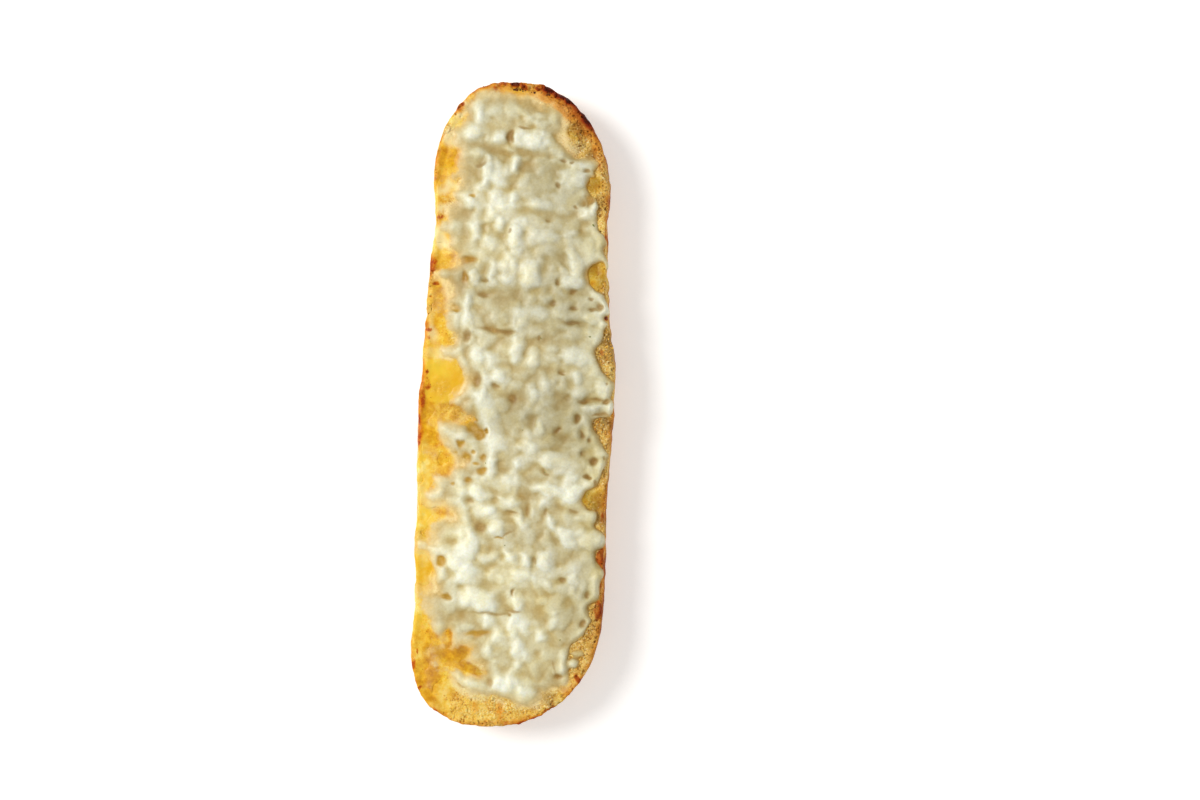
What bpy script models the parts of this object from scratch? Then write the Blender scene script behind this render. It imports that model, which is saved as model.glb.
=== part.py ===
"""Half a loaf of garlic bread, split lengthwise and baked under melted cheese.

It lies crust down with the cut face up. +Y runs along the loaf, +X across it,
+Z up, and the origin is under the middle of the loaf on the face that it rests on.
Sizes below are in millimetres and are turned to metres when the meshes are made.
"""

import math
import random

import bmesh
import bpy
from mathutils import Vector
from mathutils.geometry import delaunay_2d_cdt

MM = 0.001

# ---- the loaf, in plan -------------------------------------------------------
HALF_LENGTH_TOP = 145.6  # from the middle to the +Y tip
HALF_LENGTH_END = 145.4  # from the middle to the -Y tip
# half widths of the loaf at stations along it: (y, towards -X, towards +X)
WIDTHS = (
    (-150.0, 42.9, 42.4),
    (-110.0, 43.0, 42.6),
    (-80.0, 42.8, 43.0),
    (-40.0, 43.3, 43.5),
    (0.0, 43.4, 45.2),
    (20.0, 41.6, 45.0),
    (42.0, 40.8, 41.4),
    (62.0, 39.9, 40.2),
    (80.0, 38.5, 39.6),
    (100.0, 39.1, 40.2),
    (150.0, 39.0, 40.0),
)
# each rounded corner of the loaf is a quarter of a superellipse:
# (where it starts along the loaf, the two exponents)
CORNERS = {
    ("top", "left"): (95.0, 2.2, 2.6),
    ("top", "right"): (95.0, 2.0, 2.2),
    ("end", "left"): (100.0, 2.6, 2.6),
    ("end", "right"): (90.0, 2.2, 2.4),
}
TIP_SHIFT_TOP = -2.0  # the tips lie a little to the -X side
TIP_SHIFT_END = -5.6
SPINE = 101.0  # half length of the line that the loaf is swept round

# ---- the loaf, in section ----------------------------------------------------
BASE_INSET_SIDE = 12.0  # how far the flat underside is in from the widest outline
BASE_INSET_TIP = 22.0
EQUATOR_Z = 15.0  # height of the widest outline
CUT_Z = 26.0  # mean height of the cut face
CUT_INSET = 1.6  # the cut edge, in from the widest outline
LIP = 0.6  # the toasted crust stands this proud of the crumb
LIP_START = 2.3
LIP_MIDDLE = 3.2
LIP_FOOT = 4.5
SIDE_EXPONENT = 2.3

# ---- the cheese --------------------------------------------------------------
GAP = 0.35  # between crumb and cheese
EDGE_THICKNESS = 1.7
EDGE_ROUND = 0.9  # radius of its rounded rim
MEAN_THICKNESS = 3.2
LEAST_THICKNESS = 0.9
LUMP_HEIGHT = 2.6
LUMP_SPACING = 8.5
LUMP_RADIUS = 5.0
# width of bare crumb between the widest outline and the cheese
MARGIN = {"right": 3.3, "left": 5.2, "top": 5.4, "end": 11.5}
LEAST_MARGIN = 3.1
# bites where the cheese drew back from the edge: (side, y, depth, half length)
BITES = (
    ("left", 11.5, 15.5, 19.0),
    ("left", -12.0, 5.0, 13.0),
    ("left", 84.0, 7.0, 15.0),
    ("left", 45.0, 3.0, 18.0),
    ("left", -66.0, 5.0, 11.0),
    ("left", -111.0, 13.0, 14.0),
    ("left", -128.0, 9.0, 20.0),
    ("right", 94.0, 6.5, 17.0),
    ("right", 117.0, 7.0, 20.0),
    ("right", 59.5, 6.0, 9.0),
    ("right", 24.5, 4.0, 10.0),
    ("right", -43.5, 8.5, 8.0),
    ("right", -69.0, 2.5, 8.0),
    ("right", -104.0, 4.0, 20.0),
)
# pits that go most of the way down to the crumb: (x, y, radius)
PITS = (
    (-5.5, 121.5, 3.2),
    (-22.0, -18.0, 3.4),
    (-29.0, -71.5, 3.0),
    (-26.8, -86.5, 2.8),
    (2.8, -84.0, 2.8),
    (28.5, 49.5, 2.8),
    (35.0, 42.5, 3.2),
    (29.5, -5.5, 2.8),
    (35.8, -32.5, 3.4),
    (-21.5, 64.0, 2.6),
)

AROUND = 96  # points round the loaf
SIDE_ROWS = 6  # rows from the underside to the widest outline
UPPER_ROWS = 3  # rows from there to the cut edge
CRUMB_SPACING = 11.0  # between the points inside the cut face
CHEESE_AROUND = 176
CHEESE_SPACING = 4.6


def smooth_table(rows, column, y):
    """A table read with cosine easing between its stations."""
    if y <= rows[0][0]:
        return rows[0][column]
    for low, high in zip(rows, rows[1:]):
        if y <= high[0]:
            share = (y - low[0]) / (high[0] - low[0])
            share = 0.5 - 0.5 * math.cos(math.pi * share)
            return low[column] + (high[column] - low[column]) * share
    return rows[-1][column]


def half_width(y, side):
    """Distance from the middle line to the widest outline at y."""
    body = smooth_table(WIDTHS, 1 if side == "left" else 2, y)
    end = "top" if y > 0 else "end"
    tip = HALF_LENGTH_TOP if y > 0 else HALF_LENGTH_END
    start, p, q = CORNERS[(end, side)]
    share = (abs(y) - start) / (tip - start)
    if share <= 0:
        return body
    return body * max(0.0, 1.0 - min(share, 1.0) ** p) ** (1.0 / q)


def middle_line(y):
    """The middle line bends towards the two tips."""
    tip, shift = (
        (HALF_LENGTH_TOP, TIP_SHIFT_TOP) if y > 0 else (HALF_LENGTH_END, TIP_SHIFT_END)
    )
    share = max(0.0, (abs(y) - 90.0) / (tip - 90.0))
    return shift * share * share


def outline_polygon(steps=700):
    """The widest outline, counter-clockwise from the -Y tip, finely stepped."""
    right, left = [], []
    for i in range(steps + 1):
        # closer steps near the tips, where the outline turns fastest
        y = -math.cos(math.pi * i / steps)
        y *= HALF_LENGTH_TOP if y > 0 else HALF_LENGTH_END
        x = middle_line(y)
        right.append((x + half_width(y, "right"), y))
        left.append((x - half_width(y, "left"), y))
    return right + left[::-1][1:-1]


def even_points(polygon, count):
    """The polygon read at `count` equal steps of its length."""
    lengths = [0.0]
    closed = polygon + polygon[:1]
    for a, b in zip(closed, closed[1:]):
        lengths.append(lengths[-1] + math.dist(a, b))
    found, k = [], 0
    for i in range(count):
        want = lengths[-1] * i / count
        while lengths[k + 1] < want:
            k += 1
        share = (want - lengths[k]) / max(lengths[k + 1] - lengths[k], 1e-9)
        a, b = closed[k], closed[k + 1]
        found.append((a[0] + (b[0] - a[0]) * share, a[1] + (b[1] - a[1]) * share))
    return found


def centred(points):
    """The outline moved so that its box is centred on the origin."""
    xs, ys = [p[0] for p in points], [p[1] for p in points]
    cx, cy = (min(xs) + max(xs)) / 2, (min(ys) + max(ys)) / 2
    return [(x - cx, y - cy) for x, y in points]


def distance_to(polygon, x, y):
    """Distance from a point to the nearest side of a closed polygon."""
    least = 1e9
    ax, ay = polygon[-1]
    for bx, by in polygon:
        dx, dy = bx - ax, by - ay
        share = ((x - ax) * dx + (y - ay) * dy) / (dx * dx + dy * dy)
        share = max(0.0, min(1.0, share))
        gap = (x - ax - share * dx) ** 2 + (y - ay - share * dy) ** 2
        least = min(least, gap)
        ax, ay = bx, by
    return math.sqrt(least)


def is_inside(polygon, x, y):
    inside = False
    ax, ay = polygon[-1]
    for bx, by in polygon:
        if (ay > y) != (by > y) and x < (bx - ax) * (y - ay) / (by - ay) + ax:
            inside = not inside
        ax, ay = bx, by
    return inside


def stepped_in(polygon, distance):
    """The polygon with each corner moved inwards along its bisector."""
    count = len(polygon)
    found = []
    for i, (x, y) in enumerate(polygon):
        ax, ay = polygon[i - 1]
        bx, by = polygon[(i + 1) % count]
        dx, dy = bx - ax, by - ay
        size = math.hypot(dx, dy)
        found.append((x - dy / size * distance, y + dx / size * distance))
    return found


OUTLINE = centred(outline_polygon())
COARSE_OUTLINE = even_points(OUTLINE, 240)


class Spoke:
    """One direction round the loaf: a point on the spine and the way out to the outline."""

    def __init__(self, x, y):
        self.sx, self.sy = 0.0, max(-SPINE, min(SPINE, y))
        self.dx, self.dy = x - self.sx, y - self.sy
        self.reach = math.hypot(self.dx, self.dy)
        self.y = y
        self.tip = abs(self.dy) / self.reach  # 0 on the long sides, 1 at the tips
        self.side = "left" if self.dx < 0 else "right"
        self.end = "top" if y > 0 else "end"

    def at(self, inset):
        """The plan point that far in from the widest outline."""
        share = max(0.0, 1.0 - inset / self.reach)
        return self.sx + self.dx * share, self.sy + self.dy * share


def cut_face(x, y):
    """Height of the crumb: a knife's wavering cut, crowned a little and low at the tips."""
    return (
        CUT_Z
        + 0.7 * math.sin(y / 38.0 + 0.5)
        + 0.45 * math.sin(x / 14.0 + 1.1) * math.cos(y / 55.0)
        + 0.8 * (1.0 - (x / 45.0) ** 2)
        - 1.1 * (abs(y) / 145.0) ** 4
    )


def cheese_bed(x, y):
    """Height of the crumb with the lip of the crust over it, which the cheese clears."""
    lip = (LIP_FOOT + 0.4 - distance_to(COARSE_OUTLINE, x, y)) / 1.6
    return cut_face(x, y) + LIP * max(0.0, min(1.0, lip))


def crust_rows(spoke):
    """Points of one spoke from the underside's edge, up the crust and over its lip."""
    base = BASE_INSET_SIDE + (BASE_INSET_TIP - BASE_INSET_SIDE) * spoke.tip**1.5
    power = 2.0 / SIDE_EXPONENT
    rows = [(base, 0.0)]
    for i in range(1, SIDE_ROWS):
        turn = 0.5 * math.pi * i / SIDE_ROWS
        rows.append(
            (
                base * (1.0 - math.sin(turn) ** power),
                EQUATOR_Z * (1.0 - math.cos(turn) ** power),
            )
        )
    rows.append((0.0, EQUATOR_Z))
    rim = cut_face(*spoke.at(CUT_INSET)) + 0.5 * LIP
    for i in range(1, UPPER_ROWS + 1):
        share = i / UPPER_ROWS
        rows.append((CUT_INSET * share**2.2, EQUATOR_Z + (rim - EQUATOR_Z) * share))
    rows.append((LIP_START, cut_face(*spoke.at(LIP_START)) + LIP))
    rows.append((LIP_MIDDLE, cut_face(*spoke.at(LIP_MIDDLE)) + 0.6 * LIP))
    rows.append((LIP_FOOT, cut_face(*spoke.at(LIP_FOOT))))
    return [(*spoke.at(inset), height) for inset, height in rows]


def filled(mesh, ring, spacing, height, upward):
    """Fills a ring of points with triangles over a staggered grid of inner points."""
    outline = [(v.co.x / MM, v.co.y / MM) for v in ring]
    points = list(outline)
    row_step = spacing * math.sqrt(3.0) / 2.0
    rows = int(150.0 / row_step) + 1
    columns = int(50.0 / spacing) + 1
    for j in range(-rows, rows + 1):
        for i in range(-columns, columns + 1):
            x, y = (i + 0.5 * (j % 2)) * spacing, j * row_step
            if is_inside(outline, x, y) and distance_to(outline, x, y) > 0.6 * spacing:
                points.append((x, y))
    _, _, faces, origins, _, _ = delaunay_2d_cdt(
        [Vector(p) for p in points], [], [list(range(len(outline)))], 1, 1e-5
    )
    verts = list(ring) + [
        mesh.verts.new((x * MM, y * MM, height(x, y) * MM))
        for x, y in points[len(outline) :]
    ]
    for face in faces:
        a, b, c = (verts[origins[i][0]] for i in face)
        turn = (b.co - a.co).to_2d().cross((c.co - a.co).to_2d())
        mesh.faces.new((a, b, c) if (turn > 0) == upward else (a, c, b))


def bridged(mesh, low, high):
    """Triangles between two rings of as many points, with `high` above or inside."""
    count = len(low)
    for i in range(count):
        j = (i + 1) % count
        mesh.faces.new((low[i], low[j], high[j]))
        mesh.faces.new((low[i], high[j], high[i]))


def finished(name, mesh, parent, made_of):
    mesh.normal_update()
    data = bpy.data.meshes.new(name)
    mesh.to_mesh(data)
    mesh.free()
    data.shade_smooth()
    data.set_sharp_from_angle(angle=math.radians(45))
    data.materials.append(made_of)
    made = bpy.data.objects.new(name, data)
    bpy.context.scene.collection.objects.link(made)
    made.parent = parent
    return made


def bread(parent):
    """The crust swept round the loaf, closed by the crumb above and a flat below."""
    mesh = bmesh.new()
    spokes = [Spoke(x, y) for x, y in even_points(OUTLINE, AROUND)]
    columns = [crust_rows(spoke) for spoke in spokes]
    rings = [
        [mesh.verts.new([c * MM for c in column[row]]) for column in columns]
        for row in range(len(columns[0]))
    ]
    for low, high in zip(rings, rings[1:]):
        bridged(mesh, low, high)
    filled(mesh, rings[-1], CRUMB_SPACING, cut_face, True)
    mesh.faces.new(rings[0][::-1])
    return finished(
        "bread", mesh, parent, material("toasted_bread", (0.61, 0.33, 0.11), 0.75)
    )


def smooth_bump(distance, half):
    """1 at the middle and 0 from `half` on."""
    share = min(1.0, abs(distance) / half)
    return (1.0 - share * share) ** 2


def cheese_margin(spoke):
    """How far in from the widest outline the cheese ends on this spoke."""
    y, tip = spoke.y, spoke.tip**2
    margin = MARGIN[spoke.side] * (1.0 - tip) + MARGIN[spoke.end] * tip
    for side, at, depth, half in BITES:
        if side == spoke.side:
            margin += depth * smooth_bump(y - at, half)
    # small lobes where strands of cheese ran towards the edge
    margin += 0.7 * math.sin(y / 2.6) * math.sin(y / 11.0 + 2.0)
    return max(LEAST_MARGIN, margin)


def cheese_outline():
    found = []
    for x, y in OUTLINE:
        spoke = Spoke(x, y)
        found.append(spoke.at(cheese_margin(spoke)))
    return even_points(found, CHEESE_AROUND)


def heaps():
    """Heaps of melted shreds: (x, y, height, half length, half width, heading)."""
    rng = random.Random(11)
    found = []
    rows, columns = int(300 / LUMP_SPACING), int(96 / LUMP_SPACING)
    for i in range(rows + 1):
        for j in range(columns + 1):
            found.append(
                (
                    -48 + j * LUMP_SPACING + rng.uniform(-3, 3),
                    -150 + i * LUMP_SPACING + rng.uniform(-3, 3),
                    LUMP_HEIGHT * rng.uniform(0.45, 1.0),
                    LUMP_RADIUS * rng.uniform(1.0, 1.7),
                    LUMP_RADIUS * rng.uniform(0.7, 0.95),
                    rng.choice((0.1, 1.5, 1.3, 0.8, -0.6)) + rng.uniform(-0.3, 0.3),
                )
            )
    return found


HEAPS = heaps()


def heaped(x, y):
    """Height that the heaps of shreds add at this place."""
    high = 0.0
    for cx, cy, tall, half_long, half_wide, heading in HEAPS:
        ux, uy = x - cx, y - cy
        if abs(ux) > 9 or abs(uy) > 9:
            continue
        a = (ux * math.cos(heading) + uy * math.sin(heading)) / half_long
        b = (uy * math.cos(heading) - ux * math.sin(heading)) / half_wide
        r = a * a + b * b
        if r < 1.0:
            high = max(high, tall * (1.0 - r) ** 0.8)
    return high


def cheese(parent):
    """A sheet of melted shreds that ends in a rounded, lobed edge."""
    outline = cheese_outline()

    def thickness(x, y):
        rise = min(1.0, distance_to(outline, x, y) / 5.0)
        thick = EDGE_THICKNESS + (MEAN_THICKNESS - EDGE_THICKNESS) * rise
        thick += (0.25 + 0.75 * rise) * (heaped(x, y) - 0.5 * LUMP_HEIGHT)
        for px, py, radius in PITS:
            thick *= 1.0 - 0.8 * smooth_bump(math.hypot(x - px, y - py), 1.8 * radius)
        return max(LEAST_THICKNESS, thick)

    def underside(x, y):
        return cheese_bed(x, y) + GAP

    def top(x, y):
        return underside(x, y) + thickness(x, y)

    mesh = bmesh.new()
    low = [
        mesh.verts.new((x * MM, y * MM, underside(x, y) * MM))
        for x, y in stepped_in(outline, 0.4 * EDGE_ROUND)
    ]
    edge = [
        mesh.verts.new((x * MM, y * MM, (underside(x, y) + 0.45 * EDGE_THICKNESS) * MM))
        for x, y in outline
    ]
    high = [
        mesh.verts.new((x * MM, y * MM, (underside(x, y) + 0.9 * EDGE_THICKNESS) * MM))
        for x, y in stepped_in(outline, EDGE_ROUND)
    ]
    bridged(mesh, low, edge)
    bridged(mesh, edge, high)
    filled(mesh, high, CHEESE_SPACING, top, True)
    filled(mesh, low, CRUMB_SPACING, underside, False)
    return finished(
        "cheese", mesh, parent, material("melted_cheese", (0.70, 0.62, 0.38), 0.4)
    )


def material(name, colour, roughness):
    made = bpy.data.materials.new(name)
    made.use_nodes = True
    shader = made.node_tree.nodes["Principled BSDF"]
    shader.inputs["Base Color"].default_value = (*colour, 1.0)
    shader.inputs["Roughness"].default_value = roughness
    shader.inputs["Metallic"].default_value = 0.0
    return made


def main():
    for old in list(bpy.data.objects):
        bpy.data.objects.remove(old, do_unlink=True)
    loaf = bpy.data.objects.new("garlic_bread_half", None)
    bpy.context.scene.collection.objects.link(loaf)
    bread(loaf)
    cheese(loaf)


main()
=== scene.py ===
"""A half loaf of garlic bread under melted cheese, seen from above on a pale floor.

Sizes are in millimetres in the part's own frame until a mesh is made, when they turn to metres.
"""

import math

import bpy
import numpy as np
from mathutils import Matrix, Vector


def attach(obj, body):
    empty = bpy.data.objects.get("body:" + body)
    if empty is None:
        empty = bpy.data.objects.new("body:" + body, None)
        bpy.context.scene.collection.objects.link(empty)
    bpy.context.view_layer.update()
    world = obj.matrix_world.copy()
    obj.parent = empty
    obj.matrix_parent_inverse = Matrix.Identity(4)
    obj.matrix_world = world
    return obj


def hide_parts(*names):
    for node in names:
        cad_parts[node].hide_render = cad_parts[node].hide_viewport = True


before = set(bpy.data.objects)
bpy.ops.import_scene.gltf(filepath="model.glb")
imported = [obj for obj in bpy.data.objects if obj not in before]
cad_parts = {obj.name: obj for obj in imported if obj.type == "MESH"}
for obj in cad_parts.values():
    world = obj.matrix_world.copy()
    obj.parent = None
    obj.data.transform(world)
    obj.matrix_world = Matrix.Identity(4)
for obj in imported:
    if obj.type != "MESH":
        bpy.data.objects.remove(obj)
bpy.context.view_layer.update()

MM = 0.001

# ---------------------------------------------------------------------------
# The camera: the frame is 1200 by 800, and one of its pixels is 0.45 mm on the
# cut face. The loaf leans 1.83 degrees in it.
# ---------------------------------------------------------------------------
PIXEL = 0.4478
LEAN = math.radians(1.83)
LOAF_PIXEL = (513.5, 405.0)
SHIFT = (-0.9, -0.1)
CUT_Z = 26.0


def place(px, py):
    """The part's x and y, on the cut face, at a place in the frame."""
    x, y = (px - LOAF_PIXEL[0]) * PIXEL, (LOAF_PIXEL[1] - py) * PIXEL
    c, s = math.cos(LEAN), math.sin(LEAN)
    return x * c - y * s + SHIFT[0], x * s + y * c + SHIFT[1]


# ---------------------------------------------------------------------------
# The loaf's outline, as in the part
# ---------------------------------------------------------------------------
HALF_LENGTH_TOP, HALF_LENGTH_END = 145.6, 145.4
WIDTHS = np.array(
    (
        (-150.0, 42.9, 42.4),
        (-110.0, 43.0, 42.6),
        (-80.0, 42.8, 43.0),
        (-40.0, 43.3, 43.5),
        (0.0, 43.4, 45.2),
        (20.0, 41.6, 45.0),
        (42.0, 40.8, 41.4),
        (62.0, 39.9, 40.2),
        (80.0, 38.5, 39.6),
        (100.0, 39.1, 40.2),
        (150.0, 39.0, 40.0),
    )
)
CORNERS = {
    ("top", 1): (95.0, 2.2, 2.6),
    ("top", 2): (95.0, 2.0, 2.2),
    ("end", 1): (100.0, 2.6, 2.6),
    ("end", 2): (90.0, 2.2, 2.4),
}
TIP_SHIFT_TOP, TIP_SHIFT_END = -2.0, -5.6
SPINE = 101.0
BASE_INSET_SIDE, BASE_INSET_TIP = 12.0, 22.0
EQUATOR_Z, CUT_INSET, LIP = 15.0, 0.9, 0.6
SIDE_EXPONENT = 2.3


def half_width(y, column):
    """Distance from the middle line to the widest outline, column 1 left and 2 right."""
    ys = WIDTHS[:, 0]
    k = np.clip(np.searchsorted(ys, y) - 1, 0, len(ys) - 2)
    share = np.clip((y - ys[k]) / (ys[k + 1] - ys[k]), 0, 1)
    share = 0.5 - 0.5 * np.cos(np.pi * share)
    body = WIDTHS[k, column] * (1 - share) + WIDTHS[k + 1, column] * share
    out = body.copy()
    for end, chosen, tip in (
        ("top", y > 0, HALF_LENGTH_TOP),
        ("end", y <= 0, HALF_LENGTH_END),
    ):
        start, p, q = CORNERS[(end, column)]
        s = np.clip((np.abs(y) - start) / (tip - start), 0, 1)
        out = np.where(chosen, body * (1 - s**p) ** (1 / q), out)
    return out


def outline():
    steps = 500
    y = -np.cos(np.pi * np.arange(steps + 1) / steps)
    y = y * np.where(y > 0, HALF_LENGTH_TOP, HALF_LENGTH_END)
    tip = np.where(y > 0, HALF_LENGTH_TOP, HALF_LENGTH_END)
    bend = np.where(y > 0, TIP_SHIFT_TOP, TIP_SHIFT_END)
    middle = bend * np.clip((np.abs(y) - 90) / (tip - 90), 0, 1) ** 2
    right = np.stack([middle + half_width(y, 2), y], 1)
    left = np.stack([middle - half_width(y, 1), y], 1)
    points = np.concatenate([right, left[::-1][1:-1]])
    return points - (points.min(0) + points.max(0)) / 2


def even(points, count):
    closed = np.concatenate([points, points[:1]])
    length = np.concatenate(
        [[0], np.cumsum(np.linalg.norm(np.diff(closed, axis=0), axis=1))]
    )
    want = np.arange(count) * length[-1] / count
    return np.stack([np.interp(want, length, closed[:, i]) for i in range(2)], 1)


def rounded(points, times=3):
    """A closed polygon with its corners cut, three times over."""
    for _ in range(times):
        after = np.roll(points, -1, axis=0)
        points = np.stack(
            [0.75 * points + 0.25 * after, 0.25 * points + 0.75 * after], 1
        ).reshape(-1, 2)
    return points


# ---------------------------------------------------------------------------
# Fields on a fine grid of the plan
# ---------------------------------------------------------------------------
STEP = 0.3
GX = np.arange(-49.5, 49.5 + 1e-6, STEP)
GY = np.arange(-150.0, 150.0 + 1e-6, STEP)
XX, YY = np.meshgrid(GX, GY, indexing="ij")


def inside_distance(polygon, coarse=0.9):
    """Distance to a closed polygon over the plan grid, positive inside it."""
    xs = np.arange(GX[0], GX[-1] + coarse, coarse)
    ys = np.arange(GY[0], GY[-1] + coarse, coarse)
    px, py = (g.reshape(-1).astype(np.float32) for g in np.meshgrid(xs, ys, indexing="ij"))
    a = polygon.astype(np.float32)
    b = np.roll(a, -1, axis=0)
    best = np.full(px.shape, 1e9, np.float32)
    inside = np.zeros(px.shape, bool)
    for (ax, ay), (bx, by) in zip(a, b):
        dx, dy = bx - ax, by - ay
        rx, ry = px - ax, py - ay
        t = np.clip((rx * dx + ry * dy) / (dx * dx + dy * dy), 0, 1)
        np.minimum(best, (rx - t * dx) ** 2 + (ry - t * dy) ** 2, out=best)
        if ay != by:
            cross = ((ay > py) != (by > py)) & (px < dx * (py - ay) / dy + ax)
            inside ^= cross
    signed = np.sqrt(best) * np.where(inside, 1, -1)
    signed = signed.reshape(len(xs), len(ys))
    return bilinear(signed, (XX - xs[0]) / coarse, (YY - ys[0]) / coarse)


def bilinear(field, i, j):
    i = np.clip(i, 0, field.shape[0] - 1.001)
    j = np.clip(j, 0, field.shape[1] - 1.001)
    i0, j0 = i.astype(np.int32), j.astype(np.int32)
    u, v = (i - i0).astype(np.float32), (j - j0).astype(np.float32)
    return (field[i0, j0] * (1 - u) + field[i0 + 1, j0] * u) * (1 - v) + (
        field[i0, j0 + 1] * (1 - u) + field[i0 + 1, j0 + 1] * u
    ) * v


def plan(field, x, y):
    """A plan field read at points in millimetres."""
    return bilinear(field, (x - GX[0]) / STEP, (y - GY[0]) / STEP)


def smoothstep(low, high, value):
    t = np.clip((value - low) / (high - low), 0, 1)
    return t * t * (3 - 2 * t)


def blur(field, sigma, axes=None):
    """A Gaussian blur, sigma in cells."""
    reach = max(1, int(3 * sigma + 0.5))
    weights = np.exp(-0.5 * (np.arange(-reach, reach + 1) / sigma) ** 2)
    weights = (weights / weights.sum()).astype(np.float32)
    out = field.astype(np.float32)
    for axis in range(field.ndim) if axes is None else axes:
        pad = [(0, 0)] * field.ndim
        pad[axis] = (reach, reach)
        padded = np.pad(out, pad, mode="edge")
        out = np.zeros_like(out)
        n = field.shape[axis]
        for k, w in enumerate(weights):
            cut = [slice(None)] * field.ndim
            cut[axis] = slice(k, k + n)
            out += w * padded[tuple(cut)]
    return out


def spline_matrix(count, step, scale, phase):
    """Cubic B-spline weights from a lattice with spacing `scale` to `count` points."""
    t = np.arange(count) * step / scale + phase
    i = np.floor(t).astype(int)
    f = t - i
    weights = (
        (1 - f) ** 3 / 6,
        (3 * f**3 - 6 * f**2 + 4) / 6,
        (-3 * f**3 + 3 * f**2 + 3 * f + 1) / 6,
        f**3 / 6,
    )
    matrix = np.zeros((count, i.max() + 4), np.float32)
    for k, w in enumerate(weights):
        matrix[np.arange(count), i + k] = w
    return matrix


def noise(shape, step, scale, seed):
    """Smooth noise of about unit deviation over a grid of 2 or 3 dimensions."""
    rng = np.random.default_rng(seed)
    scales = scale if isinstance(scale, tuple) else (scale,) * len(shape)
    mats = [
        spline_matrix(n, step, s, 0.37 * (k + 1)) for k, (n, s) in enumerate(zip(shape, scales))
    ]
    out = rng.standard_normal([m.shape[1] for m in mats]).astype(np.float32)
    for m in mats:
        out = np.tensordot(out, m, axes=(0, 1))
    return out / 0.48 ** (len(shape) / 2.0)


PLAN = XX.shape
OUTLINE = outline()
EDGE = inside_distance(even(OUTLINE, 260))  # how far in from the widest outline

# the crumbly places make the outline itself uneven
ROUGH_EDGE = np.clip(
    np.exp(-(((XX - place(545, 100)[0]) / 26) ** 2 + ((YY - place(545, 100)[1]) / 22) ** 2))
    + 0.7 * np.exp(-(((XX - 44) / 10) ** 2)) * smoothstep(-25, 5, YY) * smoothstep(130, 100, YY)
    + 0.5 * np.exp(-(((YY + 146) / 12) ** 2)),
    0,
    1,
)
EDGE = (
    EDGE
    + 0.16 * noise(PLAN, STEP, 12.0, 3)
    + (0.05 + 0.26 * ROUGH_EDGE) * noise(PLAN, STEP, 1.8, 4)
    - 0.15 * ROUGH_EDGE
)


def cut_face(x, y):
    """Height of the crumb, as in the part."""
    return (
        CUT_Z
        + 0.7 * np.sin(y / 38.0 + 0.5)
        + 0.45 * np.sin(x / 14.0 + 1.1) * np.cos(y / 55.0)
        + 0.8 * (1.0 - (x / 45.0) ** 2)
        - 1.1 * (np.abs(y) / 145.0) ** 4
    )


WARP = 0.30 * noise(PLAN, STEP, 2.0, 55), 0.30 * noise(PLAN, STEP, 2.0, 56)
TORN = 0.34 * noise(PLAN, STEP, 1.6, 57), 0.34 * noise(PLAN, STEP, 1.6, 58)

# small lumps of crust along the top edge: (x, y in the frame, radius, how far out in mm)
KNOBS = np.zeros(PLAN, np.float32)
for x, y, size, out in (
    (496, 86, 1.0, 0.5), (503, 84.6, 1.1, 0.8), (510, 84.6, 0.8, 0.5), (516, 84.8, 1.2, 0.9), (522, 85.8, 0.8, 0.6),
    (527, 87, 1.1, 0.9), (532, 88.4, 0.8, 0.5), (536, 89, 1.0, 0.8), (546, 92, 1.0, 0.6), (553, 94, 1.1, 0.8), (560, 97, 0.9, 0.6),
    (566, 100.5, 1.0, 0.6), (486, 87.6, 0.9, 0.4),
):
    cx, cy = place(x, y)
    KNOBS = np.maximum(KNOBS, 1.6 * out * np.exp(-(((XX - cx) ** 2 + (YY - cy) ** 2) / size**2) ** 1.5))

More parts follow.
